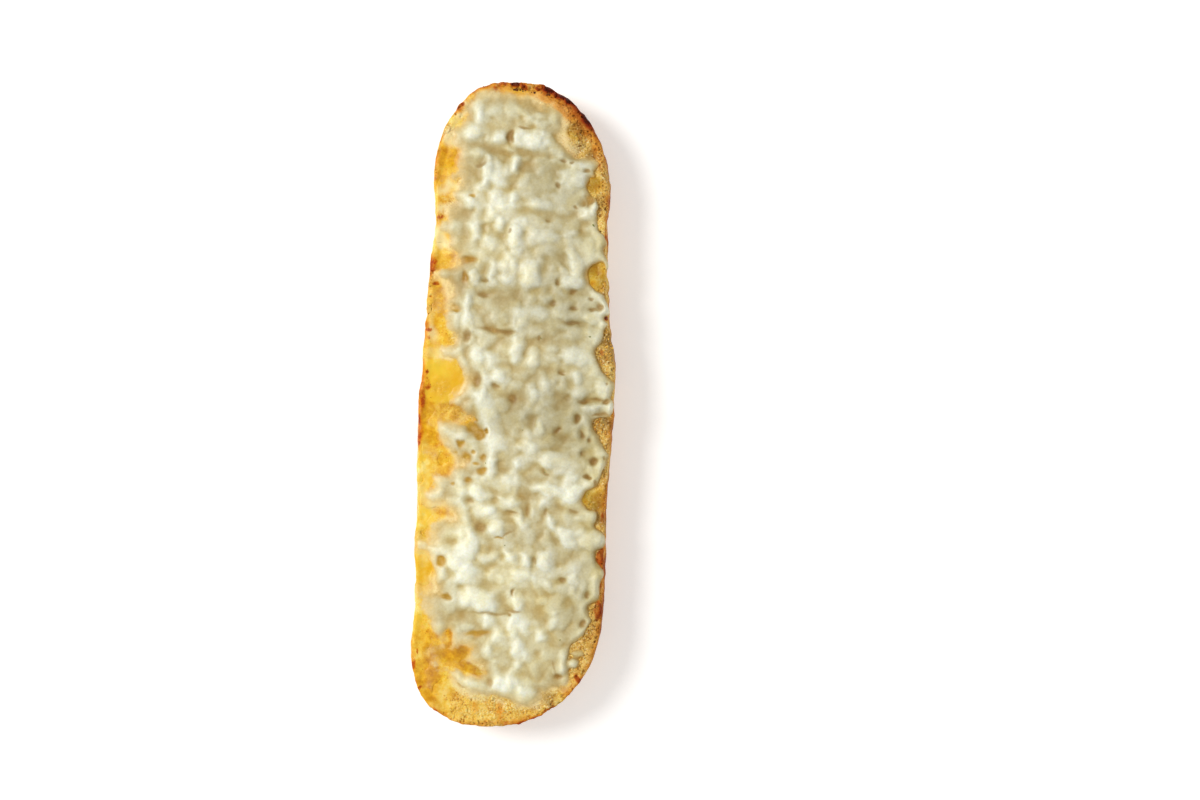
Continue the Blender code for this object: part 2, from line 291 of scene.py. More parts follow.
# ---------------------------------------------------------------------------
# Where the cheese lies: its rim in the frame, down the left side and up the right
# ---------------------------------------------------------------------------
RIM = (
    (486, 90), (478, 91), (471, 95), (466, 101), (464, 108), (463, 116), (461, 124), (455, 127),
    (451, 130), (450, 138), (450, 145), (457, 148), (460, 152), (459, 158), (456, 162), (453, 166),
    (456, 170), (459, 174), (460, 180), (460, 187), (456, 192), (455, 198), (457, 204), (450, 206),
    (445, 209), (443, 213), (446, 217), (446, 221), (440, 222), (437, 226), (437, 231), (443, 233),
    (447, 236), (449, 243), (452, 252), (456, 258), (456, 265), (449, 267), (440, 268), (436, 272),
    (437, 278), (443, 280), (447, 284), (449, 290), (451, 298), (449, 305), (446, 310), (446, 316),
    (446, 326), (447, 333), (453, 335), (454, 342), (450, 347), (444, 345), (439, 347), (438, 352),
    (440, 357), (447, 359), (455, 361), (460, 367), (463, 373), (466, 379), (462, 386), (458, 391),
    (455, 396), (453, 401), (456, 405), (462, 406), (463, 411), (470, 414), (472, 418), (466, 423),
    (458, 424), (446, 419), (438, 419), (433, 421), (432, 425), (437, 430), (438, 436), (441, 443),
    (446, 449), (451, 455), (456, 460), (462, 462), (462, 465), (452, 466), (449, 471), (447, 476),
    (440, 477), (434, 474), (428, 468), (425, 470), (430, 478), (433, 485), (432, 490), (424, 490),
    (421, 493), (423, 500), (427, 505), (434, 504), (438, 505), (445, 506), (452, 507), (456, 512),
    (458, 518), (455, 521), (449, 519), (443, 517), (434, 518), (431, 524), (431, 532), (430, 540),
    (425, 541), (417, 541), (416, 547), (422, 549), (427, 551), (429, 557), (431, 565), (434, 575),
    (435, 583), (436, 589), (430, 591), (418, 590), (413, 592), (416, 597), (419, 605), (423, 613),
    (427, 621), (430, 629), (435, 638), (440, 645), (446, 649), (445, 641), (444, 634), (448, 631),
    (451, 640), (452, 648), (456, 648), (462, 645), (470, 647), (471, 652), (469, 657), (466, 661),
    (474, 663), (481, 668), (482, 673), (474, 674), (464, 673), (456, 668), (449, 665), (447, 669),
    (451, 677), (456, 684), (462, 690), (470, 694), (478, 697), (487, 698), (492, 695), (497, 698),
    (505, 700), (513, 705), (522, 706), (532, 704), (540, 699), (547, 694), (551, 690), (558, 687),
    (566, 690), (569, 684), (570, 676), (568, 669), (567, 662), (569, 655), (570, 649), (573, 645),
    (580, 641), (585, 634), (590, 626), (592, 619), (588, 616), (587, 607), (590, 604), (597, 601),
    (600, 595), (600, 586), (600, 581), (604, 577), (604, 571), (600, 568), (596, 560), (595, 552),
    (598, 549), (604, 547), (606, 541), (605, 535), (600, 529), (594, 526), (598, 521), (599, 513),
    (596, 510), (590, 509), (585, 506), (581, 500), (583, 497), (588, 491), (593, 489), (598, 484),
    (602, 476), (605, 468), (607, 460), (610, 456), (608, 451), (603, 447), (600, 441), (597, 434),
    (593, 430), (592, 423), (594, 419), (602, 419), (610, 417), (613, 413), (615, 406), (613, 401),
    (610, 399), (612, 395), (611, 391), (614, 388), (612, 382), (607, 379), (604, 372), (601, 365),
    (598, 361), (596, 354), (595, 349), (600, 345), (603, 338), (605, 331), (607, 328), (611, 325),
    (609, 321), (604, 320), (604, 315), (608, 317), (612, 312), (610, 306), (606, 299), (601, 292),
    (594, 288), (589, 283), (586, 276), (589, 270), (594, 265), (600, 261), (604, 263), (606, 269),
    (607, 275), (610, 275), (611, 268), (609, 262), (606, 258), (603, 252), (603, 247), (608, 246),
    (607, 240), (605, 234), (600, 231), (598, 226), (597, 218), (597, 211), (600, 208), (598, 202),
    (596, 197), (590, 192), (587, 186), (589, 180), (588, 177), (596, 176), (594, 172), (597, 168),
    (597, 162), (590, 159), (582, 158), (576, 158), (575, 150), (568, 148), (566, 141), (563, 134),
    (564, 127), (562, 120), (563, 113), (558, 110), (551, 106), (545, 103), (540, 97), (532, 93),
    (520, 93), (510, 92), (500, 90), (493, 92),
)
cheese_rim = rounded(np.array([place(*p) for p in RIM]), 2)
COVER = inside_distance(cheese_rim, 0.6)  # how far in from the cheese's rim

# bits of cheese that lie apart: (x, y, half width, half height) in the frame
BITS = (
    (450.5, 174.5, 5.5, 4.0), (443.5, 200, 2.6, 11), (438.5, 315, 2.8, 9), (434.5, 662, 3.8, 11.5),
    (573, 663, 6.4, 5.4), (577, 654, 7.4, 3.6), (429, 454, 3.4, 4.4), (446, 521, 4, 4),
)

# pits, small and deep: (x, y, half width, half height, turn, depth from 0 to 1)
PITS = (
    (511, 135, 3.6, 7.4, 5, 1.0), (524, 128.8, 6.5, 1.4, -3, 0.9), (472, 196, 2.6, 1.9, 0, 0.85), (510, 231, 2.2, 1.9, 0, 0.8),
    (482, 164.5, 5, 1.8, 20, 0.75), (564, 161.5, 3.2, 1.6, 0, 0.9), (573, 162.4, 2.6, 1.7, 20, 0.9), (577, 154, 2.6, 4, 0, 0.9),
    (590, 155, 4.4, 4.4, 0, 1.0), (557, 186.5, 2.2, 3.4, 30, 0.85), (587, 172, 4.2, 2, 0, 0.95), (590, 201, 3.6, 6.4, -15, 0.95),
    (583, 203, 1.8, 3, 30, 0.8), (577, 208, 3.2, 1.7, -30, 0.85), (548, 221, 3, 1.6, 0, 0.6), (569, 259, 7.5, 2.4, 0, 0.0),
    (470, 259, 6.6, 2.4, 0, 0.9), (466, 277, 2.6, 5, 10, 0.85), (485, 281, 3.6, 1.6, 15, 0.6), (484, 295, 3.6, 2.4, 0, 0.7),
    (455, 309, 4.8, 2.6, -15, 0.9), (444.5, 328, 1.6, 13, 0, 0.8), (467, 335, 2.8, 6, 0, 0.75), (497, 331, 17, 1.7, -4, 0.75),
    (510, 333, 4.6, 1.9, 0, 0.8), (477, 379, 4.6, 6, 5, 0.8), (496, 386, 3.2, 2.2, 0, 0.8), (513, 398, 4.2, 4.6, 0, 0.9),
    (558, 282, 1.7, 3.4, 0, 0.75), (573, 292, 3.4, 3, 0, 0.85), (553, 303, 3, 2.4, 20, 0.7), (574, 309, 5, 2.6, 10, 0.85),
    (600, 308, 4, 5, 0, 0.95), (593, 311, 5, 1.8, 0, 0.9), (572, 323, 11, 1.9, -6, 0.7), (540, 338, 1.7, 1.7, 0, 0.8),
    (562, 373, 3.6, 1.6, -10, 0.75), (592, 299, 2.6, 1.9, 0, 0.85), (584, 402, 5, 2, 5, 0.85), (597, 400, 7, 1.5, 0, 0.75),
    (605, 402.5, 4.2, 3, 0, 1.0), (606, 384, 1.6, 1.5, 0, 0.85), (577, 418, 3.6, 4.2, 0, 0.95), (557.5, 430, 3.6, 1.9, 35, 0.85),
    (582, 436, 2, 5, 15, 0.9), (590, 441, 2.6, 2.6, 0, 0.9), (582, 455, 1.9, 3, 0, 0.7), (600, 414, 8, 2.2, 5, 0.95),
    (593.5, 462, 4.2, 5, 0, 1.0), (588.5, 477, 4.4, 2.7, 0, 1.0), (596, 483, 1.8, 2.6, 0, 0.9), (605, 458, 1.4, 1.9, 0, 0.9),
    (461, 444, 4.6, 3.7, 10, 1.0), (477, 419, 3.2, 1.5, -30, 1.0), (472, 427, 5.6, 5, -20, 1.0), (480, 434, 6, 4.6, -30, 1.0), (487, 431, 2.2, 2.6, 0, 1.0),
    (480, 438, 3.2, 1.9, 30, 0.9), (466, 458, 4, 4.6, 0, 0.9), (482, 471, 4.8, 2.6, 15, 0.9), (483, 457, 3, 4, 0, 0.85), (474, 452, 2.4, 3, 0, 0.9), (476, 464, 2.6, 2, 0, 0.9), (462, 466, 2.4, 2, 0, 0.85), (455, 452, 2.6, 2, 0, 0.8),
    (467, 480, 2.8, 1.8, 0, 0.85), (453, 483, 1.7, 1.7, 0, 0.9), (470, 501, 3, 1.9, 0, 0.7), (480, 527, 4.6, 4.6, -30, 0.75),
    (499, 538, 4.2, 1.1, 0, 0.9), (507, 534, 7, 1.1, 28, 0.8), (513, 512, 7, 1.3, -10, 0.6), (545, 472, 4, 1.5, -35, 0.6),
    (527, 511, 1.9, 5, 0, 0.6), (545, 512, 1.6, 5, 0, 0.5), (574, 512, 5, 1.5, -20, 0.6), (534, 560, 2, 4, 30, 0.6),
    (441, 561, 4.6, 4.4, 0, 1.0), (446, 596, 5.2, 3.3, 0, 1.0), (514, 592, 2, 3.6, 0, 0.95), (514, 611.6, 7, 1.3, 0, 0.95),
    (491, 613.5, 17, 1.2, 1, 0.6), (509.5, 614.5, 2, 2.4, 0, 0.9), (477, 633, 11, 2.6, 9, 0.85), (562, 580, 3.6, 3, 0, 0.7),
    (587, 595, 2.5, 4.4, 0, 0.85), (582, 624, 3, 4.4, -20, 0.95), (448, 641, 2.8, 9, 0, 0.95), (480, 668, 5, 1.5, 15, 0.5),
    (489, 683, 2.9, 4.6, 0, 0.7), (458, 685, 3.6, 1.2, -50, 0.7), (558, 677, 4.4, 2.6, -10, 1.0), (562, 690, 3.6, 2.2, 0, 1.0),
    (554, 667, 1.4, 9, 20, 0.6), (578, 659, 6, 1.3, 0, 0.9), (555, 697, 4, 3, 0, 0.8),
)

# soft hollows, where the cheese is thin and tan: (x, y, half width, half height, turn, depth)
HOLLOWS = (
    (471, 117, 8, 6, 0, 0.5), (490, 127, 8, 8, 0, 0.6), (462, 136, 6, 6, 0, 0.4), (477, 146, 10, 3.5, 0, 0.75),
    (493, 149, 11, 5.5, -10, 0.8), (507, 153, 10, 3, 0, 0.85), (480, 161, 10, 5, 0, 0.85), (470, 177, 9, 14, 0, 0.75),
    (479, 178, 5, 6, 0, 0.9), (490, 187, 5, 3.5, 0, 0.6), (510, 189, 6.5, 4, 0, 0.75), (458, 214, 15, 7.5, 0, 0.7),
    (483, 216, 5, 8, 0, 0.6), (484, 230, 2.5, 9, 0, 0.6), (466, 236, 7, 12, 0, 0.65), (501, 237, 6, 3.5, 0, 0.65),
    (478, 246, 8, 3.5, 0, 0.4), (494, 101, 11, 4, 0, 0.4), (505, 101, 4, 3.5, 0, 0.5), (533, 105, 16, 6, 0, 0.8),
    (540, 110, 9, 2.5, 0, 0.9), (520, 98, 10, 4, 0, 0.6), (546, 136, 2.5, 6, 0, 0.35), (518, 155, 14, 2.6, 0, 0.65),
    (545, 155, 13, 2.6, 0, 0.45), (535, 163, 8, 6, 0, 0.35), (556, 177, 5, 7, 0, 0.65), (562, 167, 9, 4, 0, 0.6),
    (552, 192, 8, 3, 0, 0.5), (540, 213, 26, 4, -4, 0.55), (548, 220, 6, 3, 0, 0.65), (585, 223, 7, 4.5, 0, 0.6),
    (558, 233, 4, 3, 0, 0.4), (590, 200, 4.5, 8, 0, 0.75), (577, 213, 7, 3, 0, 0.6), (545, 178, 16, 16, 0, 0.3),
    (582, 203, 4, 4, 0, 0.6), (455, 262, 18, 8, 0, 0.8), (470, 259, 8, 3.4, 0, 0.95), (464, 277, 5, 7, 0, 0.9),
    (452, 285, 14, 8, 0, 0.65), (485, 270, 5.5, 9, 0, 0.7), (485, 281, 5, 3, 0, 0.75), (496, 256, 7, 6, 0, 0.55),
    (484, 294, 7, 4.5, 0, 0.8), (495, 291, 14, 3.5, 0, 0.6), (504, 301, 13, 10, 0, 0.6), (456, 308, 9, 4.5, 0, 0.85),
    (462, 295, 4, 7, 0, 0.55), (481, 317, 9, 12, 0, 0.45), (497, 331, 18, 3, -5, 0.8), (509, 333, 6, 3, 0, 0.85),
    (467, 337, 4.5, 7, 0, 0.85), (466, 350, 4.5, 8, 0, 0.5), (497, 344, 8, 8, 0, 0.45), (476, 380, 6.5, 8, 0, 0.85),
    (496, 386, 5, 4, 0, 0.8), (513, 397, 6, 6, 0, 0.9), (511, 400, 14, 14, 0, 0.5), (467, 399, 6, 3.5, 0, 0.6),
    (505, 365, 13, 3, 0, 0.45), (561, 258, 11, 6, -30, 0.6), (565, 266, 10, 2, -30, 0.7), (548, 258, 6, 3.5, 0, 0.4),
    (545, 270, 5, 14, 0, 0.55), (558, 282, 3, 5, 0, 0.7), (573, 292, 5, 4.5, 0, 0.85), (582, 295, 8, 3.5, 0, 0.55),
    (532, 290, 7, 4, 0, 0.4), (549, 290, 4, 4, 0, 0.6), (553, 303, 5, 4, 0, 0.7), (566, 299, 12, 3.5, 0, 0.4),
    (574, 306, 6, 7, 0, 0.85), (573, 323, 13, 3.5, 0, 0.7), (545, 326, 9, 5.5, 0, 0.55), (521, 300, 8, 8, 0, 0.4),
    (555, 341, 16, 6, 0, 0.45), (560, 332, 5, 4.5, 0, 0.4), (547, 370, 15, 4, 0, 0.5), (562, 373, 5, 3, 0, 0.8),
    (530, 378, 7, 6, 0, 0.5), (517, 370, 7, 5, 0, 0.45), (569, 385, 4.5, 9, 0, 0.5), (560, 395, 9, 6.5, 0, 0.5),
    (521, 395, 10, 6, 0, 0.55), (592, 401, 13, 3.5, 0, 0.75), (530, 250, 6, 4, 0, 0.3), (510, 418, 12, 24, 0, 0.5),
    (446, 460, 9, 9, 0, 0.75), (448, 492, 8, 12, 0, 0.7), (446, 527, 10, 7, 0, 0.5), (452, 541, 10, 5.5, 0, 0.75),
    (437, 535, 7, 11, 0, 0.7), (476, 430, 10, 9, -30, 0.9), (467, 458, 5.5, 6, 0, 0.85), (483, 460, 6, 9, 0, 0.6),
    (482, 470, 7, 4.5, 0, 0.8), (468, 480, 4.5, 3, 0, 0.7), (469, 500, 6, 4, 0, 0.75), (495, 491, 13, 4.5, -20, 0.65),
    (505, 467, 9, 8, 0, 0.55), (477, 524, 12, 6, -45, 0.65), (480, 527, 6, 6, 0, 0.85), (490, 541, 13, 5, -40, 0.6),
    (492, 549, 5, 7, 0, 0.4), (510, 513, 9, 3, 0, 0.65), (512, 526, 9, 8, 0, 0.5), (502, 557, 3.5, 5, 0, 0.6),
    (483, 565, 12, 4.5, 0, 0.5), (577, 418, 5.5, 5.5, 0, 0.85), (586, 403, 9, 3.5, 0, 0.75), (557, 430, 5.5, 4, 30, 0.75),
    (562, 437, 6, 5, 0, 0.5), (582, 434, 4, 8, 0, 0.8), (590, 441, 4, 4, 0, 0.75), (582, 455, 3.5, 5, 0, 0.6),
    (600, 413, 10, 4, 0, 0.8), (531, 420, 5, 7, 0, 0.6), (520, 434, 6, 7, 0, 0.6), (538, 438, 5, 3, 0, 0.4),
    (568, 405, 7, 5.5, 0, 0.45), (541, 469, 13, 4, -20, 0.6), (563, 477, 8, 5.5, 0, 0.5), (537, 480, 8, 6, 0, 0.3),
    (525, 495, 11, 5.5, 0, 0.65), (527, 510, 4, 7, 0, 0.7), (545, 512, 4, 8, 0, 0.6), (536, 541, 17, 9, 0, 0.35),
    (557, 510, 7, 6, 0, 0.5), (574, 512, 8, 4, 0, 0.6), (560, 521, 7, 6, 0, 0.5), (556, 541, 5, 7, 0, 0.5),
    (566, 558, 15, 9, 0, 0.55), (535, 560, 4, 5.5, 0, 0.6), (520, 560, 4, 6, 0, 0.5), (583, 525, 12, 6, 0, 0.3),
    (451, 573, 7, 5, 0, 0.65), (488, 567, 9, 5, 0, 0.55), (490, 585, 11, 11, 0, 0.45), (504, 600, 8, 9, 0, 0.5),
    (465, 615, 14, 7, -10, 0.65), (441, 610, 15, 11, 0, 0.55), (498, 650, 8, 9, 0, 0.5), (510, 660, 9, 6, 0, 0.5),
    (502, 668, 10, 4, 0, 0.6), (441, 641, 9, 6, 0, 0.6), (475, 633, 15, 4, 8, 0.8), (562, 580, 5.5, 5.5, 0, 0.7),
    (587, 595, 4, 6, 0, 0.7), (582, 624, 4.5, 6, 0, 0.85), (541, 592, 18, 10, 0, 0.5), (536, 611, 15, 10, 0, 0.45),
    (556, 640, 13, 8, 0, 0.5), (536, 652, 6, 11, 0, 0.4), (545, 675, 9, 11, 0, 0.5), (525, 675, 11, 6, 0, 0.5),
    (572, 612, 10, 12, 0, 0.35), (489, 683, 4, 6, 0, 0.7), (557, 665, 3, 9, 15, 0.6), (558, 677, 6, 4, 0, 0.9),
    (562, 690, 4.5, 3.5, 0, 0.85),
)

# mounds of melted shreds: (x, y, half length, half width, turn, height in mm)
MOUNDS = (
    (478, 110, 6, 10, 0, 0.9), (467, 131, 14, 9, 0, 0.9), (500, 137, 7, 6, 0, 0.8), (467, 151, 7, 5, 0, 0.7),
    (512, 149, 7, 4.5, 0, 0.7), (533, 140, 20, 10, 0, 1.6), (519, 136, 6, 9, 0, 0.8), (488, 170, 6, 14, 0, 1.5),
    (499, 178, 13, 15, 0, 1.0), (463, 193, 8, 7, 0, 0.7), (494, 195, 9, 6, 0, 0.9), (512, 177, 6, 4.5, 0, 0.6),
    (505, 205, 17, 8, 0, 1.0), (468, 203, 9, 6, 0, 0.7), (500, 224, 5, 7, 0, 1.1), (475, 232, 6, 10, 0, 0.8),
    (493, 213, 6, 6, 0, 0.8), (493, 243, 5, 7, 0, 0.7), (515, 237, 7, 16, 0, 1.1), (455, 232, 7, 12, 0, 0.7),
    (443, 228, 6, 6, 0, 0.8), (556, 118, 7, 9, 0, 1.4), (516, 164, 5, 11, 0, 1.0), (540, 205, 11, 6, -10, 1.0),
    (571, 179, 15, 10, 0, 1.2), (581, 165, 14, 4.5, 0, 0.9), (596, 209, 6, 8, 0, 1.1), (585, 213, 9, 6, -20, 0.8),
    (512, 200, 7, 11, 0, 0.8), (521, 225, 8, 7, 0, 0.9), (546, 236, 14, 7, 0, 0.8), (525, 185, 7, 11, 0, 0.6),
    (572, 240, 18, 8, 0, 0.6), (540, 120, 16, 6, 0, 0.4), (443, 274, 7, 6.5, 0, 1.1), (475, 277, 5.5, 8, 0, 1.2),
    (509, 265, 10, 11, 0, 1.0), (506, 279, 7, 5, 0, 0.8), (516, 247, 7, 11, 0, 0.9), (490, 244, 7, 7, 0, 0.6),
    (467, 303, 6, 9, 0, 1.1), (468, 323, 7, 10, 0, 1.1), (493, 275, 6, 11, 0, 1.0), (455, 320, 9, 9, 0, 0.7),
    (450, 352, 14, 6, -10, 1.2), (464, 366, 5, 13, 20, 1.2), (500, 375, 7, 7, 0, 1.0), (492, 359, 9, 9, 0, 0.7),
    (515, 355, 6, 9, 0, 0.9), (478, 352, 8, 11, 0, 0.7), (518, 321, 6, 17, 0, 1.0), (482, 400, 10, 9, 0, 0.9),
    (456, 401, 6, 5, 0, 1.0), (530, 275, 10, 14, 0, 1.4), (575, 261, 17, 7, -65, 1.3), (573, 283, 12, 6.5, 0, 1.3),
    (590, 248, 20, 11, 90, 0.8), (522, 322, 15, 5.5, 90, 1.3), (592, 318, 12, 5, 0, 0.9), (577, 357, 17, 8, 0, 1.4),
    (534, 358, 12, 5.5, 90, 1.2), (517, 350, 15, 6, 90, 1.0), (578, 378, 6, 7, 0, 0.9), (547, 387, 10, 7, 0, 0.9),
    (578, 393, 9, 5, 0, 0.8), (532, 395, 11, 5.5, 90, 1.1), (604, 389, 9, 6, 0, 1.0), (536, 315, 12, 6, 0, 0.5),
    (580, 336, 14, 6, 0, 0.6), (600, 299, 14, 3.5, -55, 0.9), (545, 300, 7, 4, 0, 0.5), (591, 372, 10, 6, 0, 0.6),
    (560, 316, 8, 5, 0, 0.5), (606, 312, 7, 5, 0, 1.2), (605, 325, 7, 4.5, 0, 1.2), (468, 408, 7, 6, 0, 1.4),
    (489, 425, 28, 12, -70, 1.1), (498, 443, 10, 9, 0, 0.9), (447, 428, 10, 5, 0, 0.6), (442, 440, 9, 3.5, -50, 0.7),
    (463, 432, 7, 6, 0, 0.7), (492, 465, 14, 5.5, 90, 1.5), (457, 473, 9, 10, 0, 0.6), (440, 482, 7, 6, 0, 0.9),
    (437, 496, 8, 7, 0, 0.9), (457, 505, 9, 5.5, -20, 0.8), (477, 493, 10, 6, -50, 1.5), (462, 490, 9, 5, 90, 0.6),
    (452, 503, 6, 4.5, 0, 1.1), (463, 515, 12, 7, -55, 1.3), (457, 530, 9, 7, 0, 0.8), (497, 527, 8, 7, 0, 1.2),
    (487, 512, 15, 7, -10, 0.8), (506, 503, 11, 6, 0, 0.7), (467, 547, 18, 10, 90, 1.2), (508, 555, 8, 4.5, -60, 1.3),
    (455, 561, 9, 9, 0, 1.0), (515, 467, 8, 4.5, 90, 0.8), (509, 482, 7, 7, 0, 0.7), (513, 505, 7, 5, 0, 0.6),
    (437, 551, 8, 4, 0, 0.9), (421, 545, 6, 4, 0, 0.7), (591, 408, 9, 6.5, 0, 1.3), (611, 409, 4, 8, 0, 1.1),
    (539, 430, 12, 4.5, 90, 1.1), (529, 448, 12, 5.5, -20, 1.2), (556, 461, 22, 8, -10, 1.1), (561, 472, 9, 3.5, 0, 0.9),
    (571, 478, 7, 8, 0, 0.9), (550, 490, 19, 6.5, -12, 1.4), (572, 493, 11, 9, 0, 1.1), (545, 503, 6, 6, 0, 0.8),
    (533, 506, 12, 3.5, 90, 0.8), (517, 482, 5, 9, 0, 0.7), (551, 523, 10, 4, -65, 1.5), (566, 537, 15, 7.5, -45, 1.5),
    (590, 540, 16, 8, 0, 1.3), (523, 523, 8, 6, -45, 0.9), (534, 531, 6, 5, 0, 0.5), (526, 560, 9, 4.5, -50, 1.2),
    (546, 561, 7, 8, 0, 1.1), (590, 516, 12, 6, 0, 0.5), (602, 452, 8, 6, 0, 0.7), (545, 415, 10, 10, 0, 0.4),
    (602, 470, 4, 9, 0, 0.5), (462, 572, 14, 11, -30, 1.3), (479, 600, 20, 11, -10, 1.5), (500, 580, 5, 5, 0, 0.8),
    (518, 604, 6, 9, 0, 0.9), (514, 626, 7, 12, 0, 1.2), (435, 627, 9, 4.5, 0, 0.8), (456, 640, 11, 4, 90, 0.9),
    (468, 643, 9, 3.5, 0, 0.8), (486, 620, 9, 7, 0, 0.8), (499, 636, 8, 9, 0, 0.9), (473, 655, 7, 7, 0, 0.6),
    (488, 652, 6, 8, 0, 0.8), (501, 688, 12, 11, 0, 1.5), (466, 680, 15, 8, -25, 1.1), (480, 690, 8, 5, 0, 0.6),
    (440, 576, 6, 11, 0, 0.6), (433, 560, 11, 3.5, 90, 0.7), (518, 576, 7, 6, 0, 0.7), (527, 575, 11, 4, -25, 0.8),
    (547, 586, 9, 3.5, -35, 1.0), (521, 627, 9, 12, 0, 0.8), (518, 653, 8, 15, 0, 1.3), (540, 635, 6, 7, 0, 0.8),
    (553, 622, 5.5, 9, 0, 0.7), (565, 655, 6, 7, 0, 0.8), (527, 696, 10, 9, 0, 1.3), (573, 585, 5, 13, 0, 0.6),
    (594, 588, 5.5, 11, 0, 0.9), (545, 562, 9, 9, 0, 0.9), (585, 629, 12, 4, 64, 0.8), (560, 670, 11, 5, 80, 1.0),
    (564, 683, 7, 4.5, 80, 0.8), (572, 663, 6.5, 5.5, 0, 1.1), (577, 654, 7, 3.5, 10, 0.8), (602, 575, 3, 6, 0, 1.0),
)


def ellipse(x, y, half_wide, half_high, turn):
    """Distance from a place in the frame in units of the ellipse's radius, over the plan."""
    cx, cy = place(x, y)
    a = math.radians(turn) - LEAN
    ux, uy = XX - cx, YY - cy
    u = (ux * math.cos(a) + uy * math.sin(a)) / (half_wide * PIXEL)
    v = (uy * math.cos(a) - ux * math.sin(a)) / (half_high * PIXEL)
    return np.sqrt(u * u + v * v)


def windowed(x, y, reach):
    """Slices of the plan grid round a place in millimetres."""
    i0 = max(0, int((x - reach - GX[0]) / STEP))
    i1 = min(len(GX), int((x + reach - GX[0]) / STEP) + 2)
    j0 = max(0, int((y - reach - GY[0]) / STEP))
    j1 = min(len(GY), int((y + reach - GY[0]) / STEP) + 2)
    return slice(i0, i1), slice(j0, j1)


def local_ellipse(x, y, half_wide, half_high, turn, reach, warp=WARP):
    """The same in a window only: (window, distance)."""
    cx, cy = place(x, y)
    window = windowed(cx, cy, max(half_wide, half_high) * PIXEL * reach + 1)
    a = math.radians(turn) - LEAN
    ux, uy = XX[window] - cx + warp[0][window], YY[window] - cy + warp[1][window]
    u = (ux * math.cos(a) + uy * math.sin(a)) / (half_wide * PIXEL)
    v = (uy * math.cos(a) - ux * math.sin(a)) / (half_high * PIXEL)
    return window, np.sqrt(u * u + v * v)


for bit in BITS:
    window, r = local_ellipse(*bit, 0, 3)
    reach = min(bit[2], bit[3]) * PIXEL
    COVER[window] = np.maximum(COVER[window], (1 - r) * reach)

# ---------------------------------------------------------------------------
# Thickness of the cheese: grated shreds fall on the crumb, pile up and melt
# ---------------------------------------------------------------------------
# 1 along the right side, where the rim ends in firm lobes; 0 elsewhere, where it has run thin
firm = smoothstep(-14, 12, XX) * smoothstep(120, 104, YY) * smoothstep(-130, -116, YY)
COVER = blur(COVER, 3.0) * (1 - firm) + blur(COVER, 1.2) * firm
THIN = smoothstep(-0.5, 9.0 - 6.5 * firm, COVER)


def lumps(seed, count, longs, wides, lift):
    """Rounded lumps of melted shreds that lap over one another."""
    rng = np.random.default_rng(seed)
    high = np.zeros(PLAN, np.float32)
    inner = np.argwhere(COVER > 0.6)
    wx = 0.10 * longs[1] * noise(PLAN, STEP, 0.8 * longs[1], seed + 200)
    wy = 0.10 * longs[1] * noise(PLAN, STEP, 0.8 * longs[1], seed + 201)
    for _ in range(count):
        i, j = inner[rng.integers(len(inner))]
        long, wide = rng.uniform(*longs), rng.uniform(*wides)
        turn = rng.choice((0.0, 0.0, 1.57, 1.57, -0.8, 0.6)) + rng.normal(0, 0.35)
        level = lift * rng.uniform(0, 1) + 0.30 * wide * rng.uniform(0.6, 1.2)
        window = windowed(GX[i], GY[j], long + 1.0)
        ux, uy = XX[window] - GX[i] + wx[window], YY[window] - GY[j] + wy[window]
        u = (ux * math.cos(turn) + uy * math.sin(turn)) / long
        v = (uy * math.cos(turn) - ux * math.sin(turn)) / wide
        cap = level * np.clip(1 - (u * u + v * v) ** 1.3, 0, 1) ** 0.6
        high[window] = np.maximum(high[window], cap)
    return high


grated = 0.80 * lumps(5, 900, (3.2, 6.0), (2.0, 3.6), 0.9) + 0.50 * lumps(6, 1900, (1.5, 3.0), (0.9, 1.8), 0.45)
grated = grated - blur(grated, 20.0) * 0.8

mounds = np.zeros(PLAN, np.float32)
for x, y, long, wide, turn, tall in MOUNDS:
    slim = max(0.0, 1 - wide / 7.0)
    window, r = local_ellipse(x, y, long * 1.15, wide * (1.25 + 0.5 * slim), turn, 1.8)
    low = 1 - 0.5 * slim
    mounds[window] += (low * tall * np.clip(1 - r * r, 0, 1) ** 0.9) ** 3
mounds = mounds ** (1 / 3)

left_in = np.ones(PLAN, np.float32)
for x, y, wide, tall, turn, depth in HOLLOWS:
    window, r = local_ellipse(x, y, wide, tall, turn, 2.2)
    left_in[window] *= 1 - depth * smoothstep(1.6, 0.1, r)

body = (0.35 + 1.45 * THIN) * (1 + 0.15 * noise(PLAN, STEP, 17.0, 21))
H = body + 1.45 * mounds * (0.40 + 0.60 * THIN) + 0.76 * grated * (0.35 + 0.65 * THIN)
H = 0.25 + np.clip(H - 0.25, 0, None) * (1 - 0.70 * (1 - left_in))
H = blur(H, 1.1)
H += (0.05 * noise(PLAN, STEP, 1.5, 43) + 0.10 * noise(PLAN, STEP, 3.0, 44)) * smoothstep(0.3, 1.2, H)

dent = np.zeros(PLAN, np.float32)
for x, y, wide, tall, turn, depth in PITS:
    long = max(wide, tall) / min(wide, tall) > 4
    window, r = local_ellipse(x, y, wide, tall, turn, 3.0, WARP if long else TORN)
    bare = smoothstep(0.90, 1.0, depth)
    r = r * (1.0 if x < 500 else 1.15)
    H[window] = H[window] * (1 - (0.28 if long else 0.38 + 0.30 * bare) * depth * smoothstep(1.8, 0.2, r))
    dent[window] = np.maximum(dent[window], depth * smoothstep(1.5, 0.6, r))

